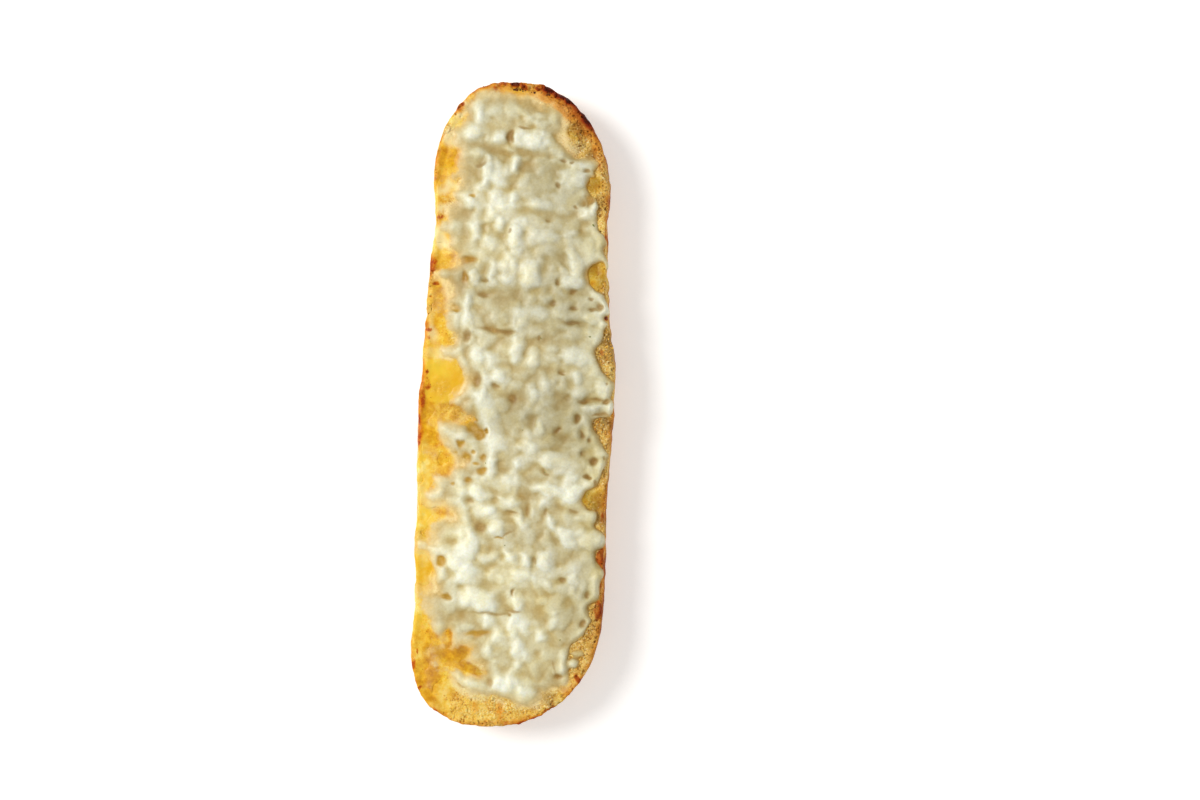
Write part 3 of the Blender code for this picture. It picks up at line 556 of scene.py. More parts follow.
# the rim: shreds end in rounded lobes on the right, and run out to a thin film elsewhere
ragged = 0.22 * noise(PLAN, STEP, 1.8, 51) + 0.28 * noise(PLAN, STEP, 4.5, 52)
reach = COVER + ragged * (1 + 1.2 * (1 - firm)) + 2.5 * (1 - firm)
H = H * smoothstep(-0.35, 1.1 + 3.6 * (1 - firm), reach) ** (0.6 + 0.3 * (1 - firm))
gone = smoothstep(0.1, -0.6, reach)
H = H * (1 - gone) - 1.6 * gone
round_edge = np.clip(H / 0.8, 0, 1)
full = 0.8 * np.sqrt(round_edge * (2 - round_edge))
lobed = 0.7 * firm * smoothstep(3.0, 1.2, COVER)
H = np.where((H > 0) & (H < 0.8), lobed * full + (1 - lobed) * H, H)
H = blur(H, 0.7)
SHOWN_CRUMB = smoothstep(0.35, -0.15, blur(H, 1.3))  # 1 where the crumb is bare

# ---------------------------------------------------------------------------
# Toast, butter and burn on the bread, with a spot of painted shade among the burn
# ---------------------------------------------------------------------------
def stains(spots, soft=1.4):
    out = np.zeros(PLAN, np.float32)
    for x, y, wide, tall, turn, amount in spots:
        window, r = local_ellipse(x, y, wide, tall, turn, 2.4)
        out[window] = np.maximum(out[window], amount * smoothstep(soft, 2 - soft, r))
    return out


# butter soaked into the crumb, all down the left side and in a few pockets
butter = stains(
    (
        (457, 118, 10, 16, 60, 0.7), (450, 158, 16, 22, 0, 1.0), (440, 190, 9, 34, 0, 0.9), (450, 188, 8, 12, 0, 1.0),
        (440, 235, 12, 26, 0, 0.95), (446, 262, 18, 14, 0, 1.0), (440, 300, 16, 30, 0, 1.0), (437, 335, 16, 28, 0, 1.0),
        (440, 384, 32, 34, 0, 1.0), (436, 420, 34, 30, 0, 1.0), (432, 455, 26, 32, 0, 1.0), (425, 500, 18, 46, 0, 1.0),
        (441, 512, 18, 10, 0, 1.0), (424, 560, 18, 50, 0, 1.0), (422, 620, 16, 44, 0, 1.0), (448, 652, 30, 20, 0, 1.0),
        (468, 668, 18, 9, -25, 0.9), (432, 672, 24, 34, 0, 0.95), (446, 700, 26, 24, -30, 0.75), (470, 712, 30, 16, 0, 0.45),
        (596, 276, 11, 15, 0, 0.85), (594, 499, 16, 11, 0, 0.7), (594, 184, 9, 9, 0, 0.7), (570, 136, 8, 14, 0, 0.5),
        (505, 90, 46, 7, 0, 0.75), (470, 97, 16, 7, -35, 0.8), (480, 721, 50, 8, 8, 0.6), (424, 690, 14, 28, -20, 1.0),
        (574, 690, 22, 12, 45, 0.5), (540, 716, 26, 7, 15, 0.5),
    )
)
for x, y, wide, tall, turn, depth in PITS:
    if x < 500 and depth > 0.8:
        window, r = local_ellipse(x, y, wide, tall, turn, 3.0)
        butter[window] = np.maximum(butter[window], 0.9 * smoothstep(2.2, 1.0, r))
butter = np.clip(butter + 0.10 * noise(PLAN, STEP, 5.0, 61) * smoothstep(0.05, 0.4, butter), 0, 1)

# where that butter has browned to orange, and where it stands in a bright yellow pool
amber = stains(
    (
        (450, 157, 14, 10, 0, 0.8), (441, 172, 6, 18, 0, 0.9), (459, 106, 6, 6, 0, 0.9), (436, 259, 7, 11, 20, 0.9), (436, 286, 7, 4, 0, 0.9),
        (437, 306, 9, 26, 8, 0.75), (440, 217, 5, 4, 0, 0.9), (452, 262, 8, 6, 0, 0.6), (436, 408, 26, 14, 0, 0.65), (421, 420, 6, 34, 0, 0.9),
        (428, 440, 12, 16, 0, 0.6), (444, 460, 8, 10, 0, 0.5), (437, 475, 10, 6, 0, 0.4), (442, 656, 16, 9, 0, 0.95), (461, 652, 11, 7, 0, 0.65),
        (470, 668, 14, 5, -30, 0.8), (420, 676, 10, 26, -15, 0.8), (446, 704, 22, 14, -30, 0.8), (432, 690, 14, 14, 0, 0.8), (480, 716, 30, 9, 0, 0.6),
        (424, 582, 10, 10, 0, 0.4), (428, 515, 4, 8, 0, 0.3), (441, 512, 9, 6, 0, 0.4), (599, 184, 7, 12, 0, 0.6), (600, 500, 8, 10, 0, 0.7),
        (431, 640, 10, 10, -45, 0.5), (447, 640, 4, 10, 0, 0.8), (467, 259, 9, 4, 0, 0.8), (466, 277, 5, 7, 0, 0.8), (444, 262, 12, 8, 0, 0.5),
        (505, 88, 46, 6, 0, 0.8), (470, 96, 14, 6, -35, 0.8), (424, 690, 12, 28, -20, 0.7), (455, 718, 30, 7, 15, 0.7), (436, 150, 5, 24, 0, 0.7),
        (430, 250, 5, 12, 0, 0.8), (428, 300, 4, 24, 0, 0.6), (418, 400, 5, 26, 0, 0.9), (412, 580, 4, 40, 0, 0.5),
        (574, 690, 20, 10, 45, 0.5), (540, 718, 26, 5, 15, 0.5),
    )
)
strands = ((449, 639, 3, 9, 0, 0.9), (431, 641, 4, 14, -38, 0.9), (447, 655, 19, 6, 0, 0.95), (465, 650, 5, 5, 0, 0.9), (469, 667, 12, 4, -25, 0.9), (436, 665, 4, 9, 0, 0.7))
amber = np.maximum(amber, stains(strands, 1.15))
amber = np.clip(amber * (1 + 0.25 * noise(PLAN, STEP, 4.0, 64)), 0, 1)
POOL = (
    (424, 362), (430, 359), (438, 358), (447, 360), (455, 362), (460, 368), (463, 374), (466, 380), (462, 387),
    (457, 393), (452, 401), (444, 404), (434, 402), (427, 399), (425, 390), (425, 375),
)
pool = smoothstep(-0.5, 0.4, inside_distance(rounded(np.array([place(*p) for p in POOL]), 2), 0.6))
pool = np.maximum(
    pool,
    0.8 * stains(((431, 352, 8, 8, 0, 0.6), (422, 475, 7, 30, 0, 1.0), (426, 524, 8, 18, 0, 1.0), (418, 534, 5, 8, 0, 1.0),
                  (421, 569, 10, 22, 0, 1.0), (417, 610, 6, 22, 0, 1.0), (421, 520, 8, 16, 0, 1.0), (456, 122, 5, 6, 0, 0.6))),
)

# toast: a thin rim everywhere, browner at the top, the lower end and parts of the right side
window_map = stains(
    (
        (512, 87, 60, 14, 0, 1.0), (575, 110, 46, 34, -50, 1.0), (600, 150, 14, 30, 0, 0.6), (606, 200, 10, 40, 0, 0.5), (604, 350, 16, 30, 0, 0.25),
        (600, 430, 16, 26, 0, 0.5), (601, 500, 10, 24, 0, 0.7), (601, 555, 12, 22, 0, 1.0), (596, 620, 16, 40, 0, 0.8), (575, 680, 24, 20, 45, 0.8),
        (520, 722, 50, 10, 0, 0.9), (450, 715, 30, 14, -30, 0.55), (415, 670, 10, 26, 0, 0.50), (462, 104, 12, 14, 50, 0.9), (440, 160, 8, 30, 0, 0.4),
        (433, 265, 7, 12, 0, 0.9), (424, 390, 6, 26, 0, 0.9), (420, 430, 5, 20, 0, 0.8), (426, 330, 5, 12, 0, 0.7),
    ),
    1.6,
)
rim = np.exp(-np.clip(EDGE - 0.3, 0, None) / (0.8 + 1.6 * window_map))
toast = np.clip(rim * (0.15 + 0.85 * window_map) * (1 + 0.35 * noise(PLAN, STEP, 3.0, 63)), 0, 1)
scorch = stains(((570, 103, 34, 20, -45, 1.0), (553, 96, 18, 12, -15, 1.0)), 1.5)
toast = np.maximum(toast, stains(((580, 118, 22, 12, -50, 0.50), (568, 105, 18, 10, -40, 0.65), (597, 148, 7, 20, 12, 0.40), (545, 97, 14, 5, -12, 0.5), (499, 713, 4, 10, 8, 0.40), (474, 708, 4, 7, -10, 0.25)), 1.6)
                   * (1 + 0.25 * noise(PLAN, STEP, 2.0, 70)))
toast = np.maximum(toast, scorch * smoothstep(7.5, 1.8, EDGE + 0.6 * noise(PLAN, STEP, 2.2, 66)) * 0.95)
burn_and_shade = scorch * smoothstep(4.0, 1.1, EDGE + 0.5 * noise(PLAN, STEP, 2.0, 65))
burn_and_shade = np.maximum(
    burn_and_shade,
    stains(
        (
            (515, 84, 6, 3, 0, 0.9), (525, 87, 4, 3, 0, 0.7), (537, 88, 3, 2.5, 0, 0.7), (495, 88, 4, 3.5, 40, 0.6), (503, 84, 4, 3, 0, 0.45), (471, 91, 4, 2, 0, 0.6),
            (462, 104, 3.5, 3, 40, 0.7), (440, 217, 3.6, 3, 0, 0.6), (434, 266, 4, 6, 0, 0.6), (436, 284, 4, 2, 0, 0.65), (428, 330, 3.6, 2.4, 0, 0.9),
            (428, 338, 2, 2, 0, 0.7), (427.5, 372, 2, 2.6, 0, 0.7), (426, 383, 4.5, 6, 0, 0.85), (422.5, 395, 2.6, 15, 5, 0.60),
            (419.5, 418, 2.4, 7, 0, 0.85), (419.5, 439, 2.4, 7, 0, 0.6), (414.0, 664, 2.2, 6, 0, 0.50), (417, 650, 1.4, 2.6, 0, 0.45), (419, 691, 2.2, 7, -25, 0.40),
            (437, 712, 8, 1.8, -35, 0.35), (500, 724, 20, 2.0, 0, 0.40), (524, 723, 8, 1.8, 10, 0.5), (535, 719, 9, 2, 20, 0.45),
            # the spot at (600, 558) is painted shade, where the other half shades the crumb
            (550, 710, 10, 2.4, 30, 0.5), (578, 680, 2.6, 8, 35, 0.45), (600, 558, 4, 10, 0, 0.75), (600, 590, 2.5, 8, 0, 0.5), (598, 610, 4, 10, 0, 0.55), (603, 522, 3, 8, 0, 0.5),
            (607, 234, 3, 10, 0, 0.6), (610, 226, 2, 4, 0, 0.7), (607, 317, 3, 2.5, 0, 0.6), (602, 353, 3, 4, 0, 0.35), (593, 125, 6, 9, 30, 0.5), (581, 138, 3, 2, 0, 0.4),
            (586, 140, 2.5, 2.5, 0, 0.4),
        )
    ),
)
burn_and_shade = np.clip(burn_and_shade * (1 + 0.30 * noise(PLAN, STEP, 2.0, 62)), 0, 1)


# paler places of the crumb, and painted shade where it is darker: mostly along the right side beside the other half, in
# pockets and in pits
tone_and_shade = stains(
    (
        (470, 708, 44, 16, 0, 0.75), (452, 697, 18, 14, 0, 0.6), (510, 710, 22, 8, 0, 1.0), (440, 242, 11, 16, 0, 0.95), (432, 353, 10, 9, 0, 0.6),
        (421, 480, 8, 36, 0, 0.75), (420, 575, 9, 26, 0, 0.6), (415, 612, 6, 26, 0, 0.8), (456, 121, 6, 8, 0, 0.6), 
        (603, 218, 6, 12, 0, 0.25), (419, 524, 6, 22, 0, 0.8), (440, 195, 7, 8, 0, 0.6), 
        (418, 645, 5, 14, 0, 0.6), (443, 640, 5, 6, 0, 0.5), (470, 98, 12, 5, -30, 0.4),
    )
) - stains(
    (
        (592, 500, 14, 12, 0, 0.95), (595, 276, 10, 15, 0, 0.85), (594, 184, 9, 9, 0, 0.6), (600, 430, 14, 18, 0, 0.45), (602, 520, 6, 16, 0, 0.5),
        (606, 352, 10, 22, 0, 0.45), (604, 195, 8, 24, 0, 0.35), (606, 385, 6, 20, 0, 0.4),
        (592, 615, 10, 24, 0, 0.3), (574, 137, 11, 16, 0, 0.60), (590, 160, 6, 14, 0, 0.3), (554, 703, 14, 7, -30, 0.3), (604, 195, 5, 16, 0, 0.5), (461, 444, 5, 4, 0, 0.8), (474, 430, 7, 8, -20, 0.6), (441, 561, 5, 4, 0, 0.5),
        (446, 596, 5, 3, 0, 0.5), (511, 135, 4, 7, 0, 0.5), (448, 652, 20, 9, 0, 0.30), (470, 667, 14, 5, -30, 0.35), (450, 412, 20, 10, 0, 0.3),
        (593, 462, 4, 5, 0, 0.7), (588, 477, 4, 3, 0, 0.8), (558, 677, 5, 3, 0, 0.7), (600, 400, 8, 5, 0, 0.4),
    )
)
tone_and_shade = np.clip(tone_and_shade + 0.30 * noise(PLAN, STEP, 3.5, 69) * smoothstep(0.05, 0.5, np.abs(tone_and_shade)), -1, 1)
# broad tones of the cheese: duller in places, partly its own thin oily cheese and partly painted shade where the other
# half and the fall of the light darken it; paler in others, partly thick cheese and partly painted light
dull_and_shade = blur(
    stains(
        (
            (552, 182, 26, 30, 0, 0.9), (562, 242, 28, 26, 0, 0.7), (552, 295, 18, 42, 0, 0.8), (572, 320, 20, 32, 0, 1.0), (518, 308, 22, 22, 0, 0.7),
            (565, 420, 32, 38, 0, 1.0), (520, 412, 24, 16, 0, 1.0), (470, 418, 16, 16, 0, 1.0), (490, 408, 14, 16, 0, 0.7), (540, 382, 24, 12, 0, 0.7),
            (590, 450, 14, 22, 0, 0.8), (592, 570, 12, 44, 0, 0.8), (540, 545, 22, 14, 0, 0.2), (570, 605, 20, 26, 0, 0.6), (572, 162, 12, 10, 0, 0.9),
            (592, 242, 12, 14, 0, 0.7), (490, 282, 14, 12, 0, 0.6), (510, 322, 12, 10, 0, 0.7), (450, 300, 10, 12, 0, 0.5), (590, 380, 14, 14, 0, 0.6),
            (566, 358, 18, 14, 0, 0.45), (455, 280, 24, 24, 0, 0.6), (480, 160, 26, 12, 0, 0.4),
            (560, 122, 18, 12, 0, 0.6), (590, 300, 12, 20, 0, 0.6), (592, 520, 10, 14, 0, 0.7),
        ),
        1.5,
    ),
    10.0,
)
bright = blur(
    stains(
        (
            (455, 540, 36, 60, 0, 0.8), (487, 502, 26, 26, 0, 1.0), (532, 605, 22, 26, 0, 1.0), (572, 498, 20, 18, 0, 0.6), (475, 560, 20, 16, 0, 1.0), (490, 405, 14, 14, 0, 0.7), (500, 600, 44, 50, 0, 0.8), (530, 640, 20, 30, 0, 0.9), (490, 680, 40, 24, 0, 1.0),
            (505, 200, 22, 30, 0, 0.3), (495, 240, 16, 24, 0, 0.3), (490, 360, 16, 12, 0, 0.5),
        ),
        1.5,
    ),
    10.0,
)
# and yellower, along the firm rim and in a few places between
warm = blur(
    stains(
        (
            (592, 460, 14, 26, 0, 1.0), (592, 530, 12, 40, 0, 0.8), (594, 585, 10, 40, 0, 0.9), (592, 245, 16, 16, 0, 0.9), (572, 640, 26, 20, 0, 0.4),
            (592, 380, 10, 22, 0, 0.8), (538, 672, 26, 14, 0, 0.6), (505, 578, 18, 14, 0, 0.7), (552, 600, 26, 18, 0, 0.6), (478, 590, 12, 20, 0, 0.3),
            (560, 440, 26, 18, 0, 0.4), (450, 535, 14, 14, 0, 0.5), (495, 640, 20, 14, 0, 0.4), (590, 325, 12, 30, 0, 0.5), (480, 250, 30, 30, 0, 0.25),
        ),
        1.5,
    ),
    8.0,
)
# a milky seam on the crumb along the thin rim of the cheese
milk = smoothstep(-4.2, -0.8, COVER + 1.0 * noise(PLAN, STEP, 3.0, 67)) * (1 - firm)
milk = np.maximum(milk, stains(((441, 241, 6, 10, 0, 1.0), (440, 197, 5, 6, 0, 0.8), (431, 352, 6, 6, 0, 0.7), (428, 546, 8, 5, 0, 0.8), (424, 594, 7, 5, 0, 0.7))))
milk *= (1 - stains(((444, 412, 26, 12, 0, 0.9),))) * smoothstep(-0.9, 0.6, noise(PLAN, STEP, 4.0, 68)) * (1 - 0.9 * pool) * (1 - 0.95 * np.clip(1.3 * amber, 0, 1))


# ---------------------------------------------------------------------------
# Volumes and their meshes
# ---------------------------------------------------------------------------
def surface(f, low, step):
    """Points and quads of the surface where f crosses 0, by dual contouring at the mean crossing. f is below 0 inside."""
    inside = f < 0
    nx, ny, nz = f.shape
    cell = lambda i, j, k: (i * (ny - 1) + j) * (nz - 1) + k
    cells, points, quads = [], [], []
    for axis in range(3):
        first = [slice(None)] * 3
        second = [slice(None)] * 3
        first[axis], second[axis] = slice(0, -1), slice(1, None)
        i, j, k = np.nonzero(inside[tuple(first)] != inside[tuple(second)])
        a = f[tuple(first)][i, j, k]
        b = f[tuple(second)][i, j, k]
        at = [i.astype(np.float32), j.astype(np.float32), k.astype(np.float32)]
        at[axis] = at[axis] + a / (a - b)
        at = np.stack(at, 1)
        if axis == 0:
            around = [cell(i, j - 1, k - 1), cell(i, j, k - 1), cell(i, j, k), cell(i, j - 1, k)]
        elif axis == 1:
            around = [cell(i - 1, j, k - 1), cell(i - 1, j, k), cell(i, j, k), cell(i, j, k - 1)]
        else:
            around = [cell(i - 1, j - 1, k), cell(i, j - 1, k), cell(i, j, k), cell(i - 1, j, k)]
        around = np.stack(around, 1)
        quads.append(np.where((a < 0)[:, None], around, around[:, ::-1]))
        cells.append(around.T.reshape(-1))
        points.append(np.tile(at, (4, 1)))
    cells, points = np.concatenate(cells), np.concatenate(points)
    quads = np.concatenate(quads)
    ids, index = np.unique(cells, return_inverse=True)
    count = np.bincount(index, minlength=len(ids))
    where = np.stack(
        [np.bincount(index, weights=points[:, c], minlength=len(ids)) / count for c in range(3)], 1
    )
    quads = np.searchsorted(ids, quads)
    return where * step + np.asarray(low), quads


def new_mesh(name, points, faces):
    mesh = bpy.data.meshes.new(name)
    sides = faces.shape[1]
    mesh.vertices.add(len(points))
    mesh.vertices.foreach_set("co", (points * MM).astype(np.float32).reshape(-1))
    mesh.loops.add(faces.size)
    mesh.loops.foreach_set("vertex_index", faces.astype(np.int32).reshape(-1))
    mesh.polygons.add(len(faces))
    mesh.polygons.foreach_set("loop_start", np.arange(0, faces.size, sides, dtype=np.int32))
    mesh.update(calc_edges=True)
    mesh.validate()
    return mesh


def triangles(mesh):
    mesh.calc_loop_triangles()
    points = np.empty(len(mesh.vertices) * 3, np.float32)
    mesh.vertices.foreach_get("co", points)
    faces = np.empty(len(mesh.loop_triangles) * 3, np.int32)
    mesh.loop_triangles.foreach_get("vertices", faces)
    return points.reshape(-1, 3).astype(np.float64) / MM, faces.reshape(-1, 3)


def main_body(points, faces, least=400):
    """Drops bits of mesh that hold fewer than `least` faces."""
    label = np.arange(len(points))
    a = np.concatenate([faces[:, 0], faces[:, 1]])
    b = np.concatenate([faces[:, 1], faces[:, 2]])
    while True:
        low = np.minimum(label[a], label[b])
        before = label.copy()
        np.minimum.at(label, a, low)
        np.minimum.at(label, b, low)
        label = label[label]
        if (label == before).all():
            break
    held = np.bincount(label[faces[:, 0]], minlength=len(points))
    keep = held[label[faces[:, 0]]] >= least
    faces = faces[keep]
    used, index = np.unique(faces, return_inverse=True)
    return points[used], index.reshape(-1, 3)


def main_skin(points, faces):
    """Keeps the surface whose triangles join edge to edge, without small closed ones that only touch it."""
    ends = np.sort(np.concatenate([faces[:, (0, 1)], faces[:, (1, 2)], faces[:, (2, 0)]]).astype(np.int64), axis=1)
    key = ends[:, 0] * len(points) + ends[:, 1]
    order = np.argsort(key, kind="stable")
    owner = np.tile(np.arange(len(faces)), 3)[order]
    start = np.flatnonzero(np.append(True, np.diff(key[order]) != 0))
    pairs = start[np.diff(np.append(start, len(key))) == 2]
    a, b = owner[pairs], owner[pairs + 1]
    label = np.arange(len(faces))
    while True:
        one, two = label[a], label[b]
        low = np.minimum(one, two)
        joined = label.copy()
        np.minimum.at(joined, one, low)
        np.minimum.at(joined, two, low)
        while (joined[joined] != joined).any():
            joined = joined[joined]
        if (joined == label).all():
            break
        label = joined
    faces = faces[label == np.bincount(label).argmax()]
    used, index = np.unique(faces, return_inverse=True)
    return points[used], index.reshape(-1, 3)


def thinned(name, points, quads, most):
    """The surface with its flatter triangles merged until `most` are left."""
    mesh = new_mesh(name + "_full", points, quads)
    holder = bpy.data.objects.new(name + "_full", mesh)
    bpy.context.scene.collection.objects.link(holder)
    ratio = most / (2.0 * len(quads))
    if ratio < 1:
        fewer = holder.modifiers.new("fewer", "DECIMATE")
        fewer.ratio = ratio
    else:
        holder.modifiers.new("fewer", "TRIANGULATE")
    graph = bpy.context.evaluated_depsgraph_get()
    result = bpy.data.meshes.new_from_object(holder.evaluated_get(graph))
    points, faces = triangles(result)
    bpy.data.objects.remove(holder, do_unlink=True)
    bpy.data.meshes.remove(mesh)
    bpy.data.meshes.remove(result)
    return main_skin(*main_body(points, faces))


def settled(points, faces, f, low, step):
    """Points that ended up off the surface go to the middle of their neighbours."""
    for _ in range(6):
        off = np.abs(trilinear(f, (points - np.asarray(low)) / step)) > 0.28
        if not off.any():
            break
        a = np.concatenate([faces[:, k] for k in (0, 1, 2, 1, 2, 0)])
        b = np.concatenate([faces[:, k] for k in (1, 2, 0, 0, 1, 2)])
        count = np.maximum(np.bincount(a, minlength=len(points)), 1)
        for axis in range(3):
            mean = np.bincount(a, weights=points[b, axis], minlength=len(points)) / count
            points[off, axis] = mean[off]
    return points


def piece(name, points, faces, material, node, fields):
    mesh = new_mesh(name, points, faces)
    mesh.shade_smooth()
    for field, values in fields.items():
        layer = mesh.attributes.new(field, "FLOAT", "POINT")
        layer.data.foreach_set("value", values.astype(np.float32))
    mesh.materials.append(material)
    obj = bpy.data.objects.new(name, mesh)
    bpy.context.scene.collection.objects.link(obj)
    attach(obj, "root")
    if node:
        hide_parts(node)
    return obj


def axes_of(low, high, step):
    return [np.arange(a, b + step, step) for a, b in zip(low, high)]


# ---- the section of the loaf, as a table of distances ------------------------
def profile(base):
    power = 2.0 / SIDE_EXPONENT
    turn = np.linspace(0, np.pi / 2, 24)
    side_curve = np.stack(
        [base * (1 - np.sin(turn) ** power), EQUATOR_Z * (1 - np.cos(turn) ** power)], 1
    )
    rim = CUT_Z + 0.5 * LIP
    share = np.linspace(0, 1, 8)[1:]
    upper = np.stack([CUT_INSET * share**2.2, EQUATOR_Z + (rim - EQUATOR_Z) * share], 1)
    lip = np.array([(2.3, CUT_Z + LIP), (3.2, CUT_Z + 0.6 * LIP), (4.5, CUT_Z), (60, CUT_Z), (60, 0)])
    return np.concatenate([side_curve, upper, lip])


PS = np.arange(-9.0, 52.0, 0.25)
PZ = np.arange(-6.0, 38.0, 0.25)


def profile_table(base):
    a = profile(base)
    b = np.roll(a, -1, axis=0)
    s, z = np.meshgrid(PS, PZ, indexing="ij")
    best = np.full(s.shape, 1e9)
    inside = np.zeros(s.shape, bool)
    for (ax, ay), (bx, by) in zip(a, b):
        dx, dy = bx - ax, by - ay
        t = np.clip(((s - ax) * dx + (z - ay) * dy) / (dx * dx + dy * dy + 1e-12), 0, 1)
        best = np.minimum(best, (s - ax - t * dx) ** 2 + (z - ay - t * dy) ** 2)
        if ay != by:
            inside ^= ((ay > z) != (by > z)) & (s < dx * (z - ay) / dy + ax)
    return (np.sqrt(best) * np.where(inside, -1, 1)).astype(np.float32)


TABLES = profile_table(BASE_INSET_SIDE), profile_table(BASE_INSET_TIP)


def loaf(x, y, z):
    """Distance outside the smooth loaf, over a grid given by its three axes."""
    px, py = np.meshgrid(x, y, indexing="ij")
    s = plan(EDGE, px, py)
    past = np.clip(np.abs(py) - SPINE, 0, None)
    tip = (past / np.hypot(px, past + 1e-6)) ** 1.5
    lift = cut_face(px, py) - CUT_Z
    out = np.empty((len(x), len(y), len(z)), np.float32)
    for k, level in enumerate(z):
        lowered = level - lift * smoothstep(8, 22, level)
        i, j = (s - PS[0]) / 0.25, (lowered - PZ[0]) / 0.25
        out[:, :, k] = bilinear(TABLES[0], i, j) * (1 - tip) + bilinear(TABLES[1], i, j) * tip
    return out


def bread_piece(material):
    step = 0.4
    low, high = (-47.0, -148.5, -1.5), (47.0, 148.5, 30.5)
    x, y, z = axes_of(low, high, step)
    f = loaf(x, y, z)
    smooth = f.copy()
    shape = f.shape
    px, py = np.meshgrid(x, y, indexing="ij")
    bare = plan(SHOWN_CRUMB, px, py)
    edge = plan(EDGE, px, py)
    upper = smoothstep(17.0, 21.0, z)[None, None, :].astype(np.float32)
    # crust: broad swells, small blisters and a fine wrinkle; nothing where it rests
    off_floor = smoothstep(0.3, 3.0, z)[None, None, :]
    crust = 0.22 * noise(shape, step, 14.0, 81) + 0.09 * noise(shape, step, 4.0, 82)
    crust += 0.07 * noise(shape, step, 1.5, 83)
    f += crust * off_floor
    del crust
    # crumb: an uneven, open surface where it is bare, smooth where butter fills it
    wet = plan(butter, px, py)
    dry = 1 - 0.85 * smoothstep(0.45, 0.9, wet)[:, :, None]
    on_top = (bare * smoothstep(-0.6, 1.0, edge))[:, :, None] * upper
    f += on_top * (0.14 * noise(shape, step, 3.2, 84) + (0.10 + dry) * 0.15 * noise(shape, step, 0.95, 85))
    f -= plan(KNOBS, px, py)[:, :, None] * smoothstep(20.5, 24.0, z)[None, None, :].astype(np.float32)
    rng = np.random.default_rng(9)
    spots = np.argwhere((bare > 0.3) & (edge > 0.5))
    count = int(len(spots) * step * step / 0.7)
    for i, j in spots[rng.integers(len(spots), size=count)]:
        r = min(0.26 + 0.09 * rng.gamma(1.5), 0.7)
        if wet[i, j] > 0.45 + 0.4 * rng.random():
            continue
        cx, cy = x[i] + rng.uniform(-0.5, 0.5) * step, y[j] + rng.uniform(-0.5, 0.5) * step
        cz = cut_face(cx, cy) - r * rng.uniform(-0.4, 0.3)
        n = int(r / step) + 3
        a = slice(max(0, i - n), i + n + 1)
        b = slice(max(0, j - n), j + n + 1)
        kk = int((cz - z[0]) / step)
        c = slice(max(0, kk - n), kk + n + 1)
        stretch = rng.uniform(0.7, 1.4)
        d = np.sqrt(
            ((x[a] - cx) * stretch)[:, None, None] ** 2
            + ((y[b] - cy) / stretch)[None, :, None] ** 2
            + (z[c] - cz)[None, None, :] ** 2
        )
        f[a, b, c] = np.maximum(f[a, b, c], (r - d).astype(np.float32))
    points, quads = surface(f, (x[0], y[0], z[0]), step)
    points, faces = thinned("bread", points, quads, 198000)
    points = settled(points, faces, f, (x[0], y[0], z[0]), step)
    points[:, 2] = np.maximum(points[:, 2], 0.0)
    # how deep each point lies under the smooth loaf, for painted shade in the pores
    depth = -trilinear(smooth, (points - np.array([x[0], y[0], z[0]])) / step)
    px, py, pz = points.T
    top = smoothstep(19.5, 23.0, pz) * smoothstep(-0.9, 0.3, plan(EDGE, px, py))
    # on the side the stains wander and end unevenly
    box = [int(b - a) + 3 for a, b in zip(low, high)]
    sway = smoothstep(24.5, 17.0, pz)
    at = points - np.array(low)
    dx, dy, dz = (trilinear(noise(box, 1.0, s, seed), at) for s, seed in ((5.0, 91), (5.0, 92), (4.0, 93)))
    share = smoothstep(9.5, 20.0, pz + 2.6 * dz)
    marks = stained(px + 1.5 * sway * dx, py + 1.5 * sway * dy, share)
    marks["burn_and_shade"] = marks["burn_and_shade"] * smoothstep(17.5, 23.0, pz + 1.8 * dz)
    for name in ("pale", "pool", "milk"):
        marks[name] = marks[name] * smoothstep(19.5, 23.5, pz)
    fields = {"crumb": top, "deep": np.clip(depth / 1.0, 0, 1), **marks}
    return piece("bread_half_loaf", points, faces, material, "bread", fields)


def stained(px, py, share):
    """How toasted, buttered and so on the bread is at these places, and where shade is painted on it."""
    tone_and_shade_ = plan(tone_and_shade, px, py)
    maps = {"toast": toast, "burn_and_shade": burn_and_shade, "butter": butter, "amber": amber, "pool": pool, "milk": milk}
    fields = {name: plan(field, px, py) * share for name, field in maps.items()}
    return {**fields, "pale": np.clip(tone_and_shade_, 0, 1) * share, "dim_shade": np.clip(-tone_and_shade_, 0, 1) * share}


def trilinear(f, at):
    at = np.clip(at, 0, np.array(f.shape) - 1.001)
    i = at.astype(np.int32)
    u, v, w = (at - i).T
    i, j, k = i.T
    out = 0
    for a, wa in ((0, 1 - u), (1, u)):
        for b, wb in ((0, 1 - v), (1, v)):
            for c, wc in ((0, 1 - w), (1, w)):
                out = out + f[i + a, j + b, k + c] * wa * wb * wc
    return out


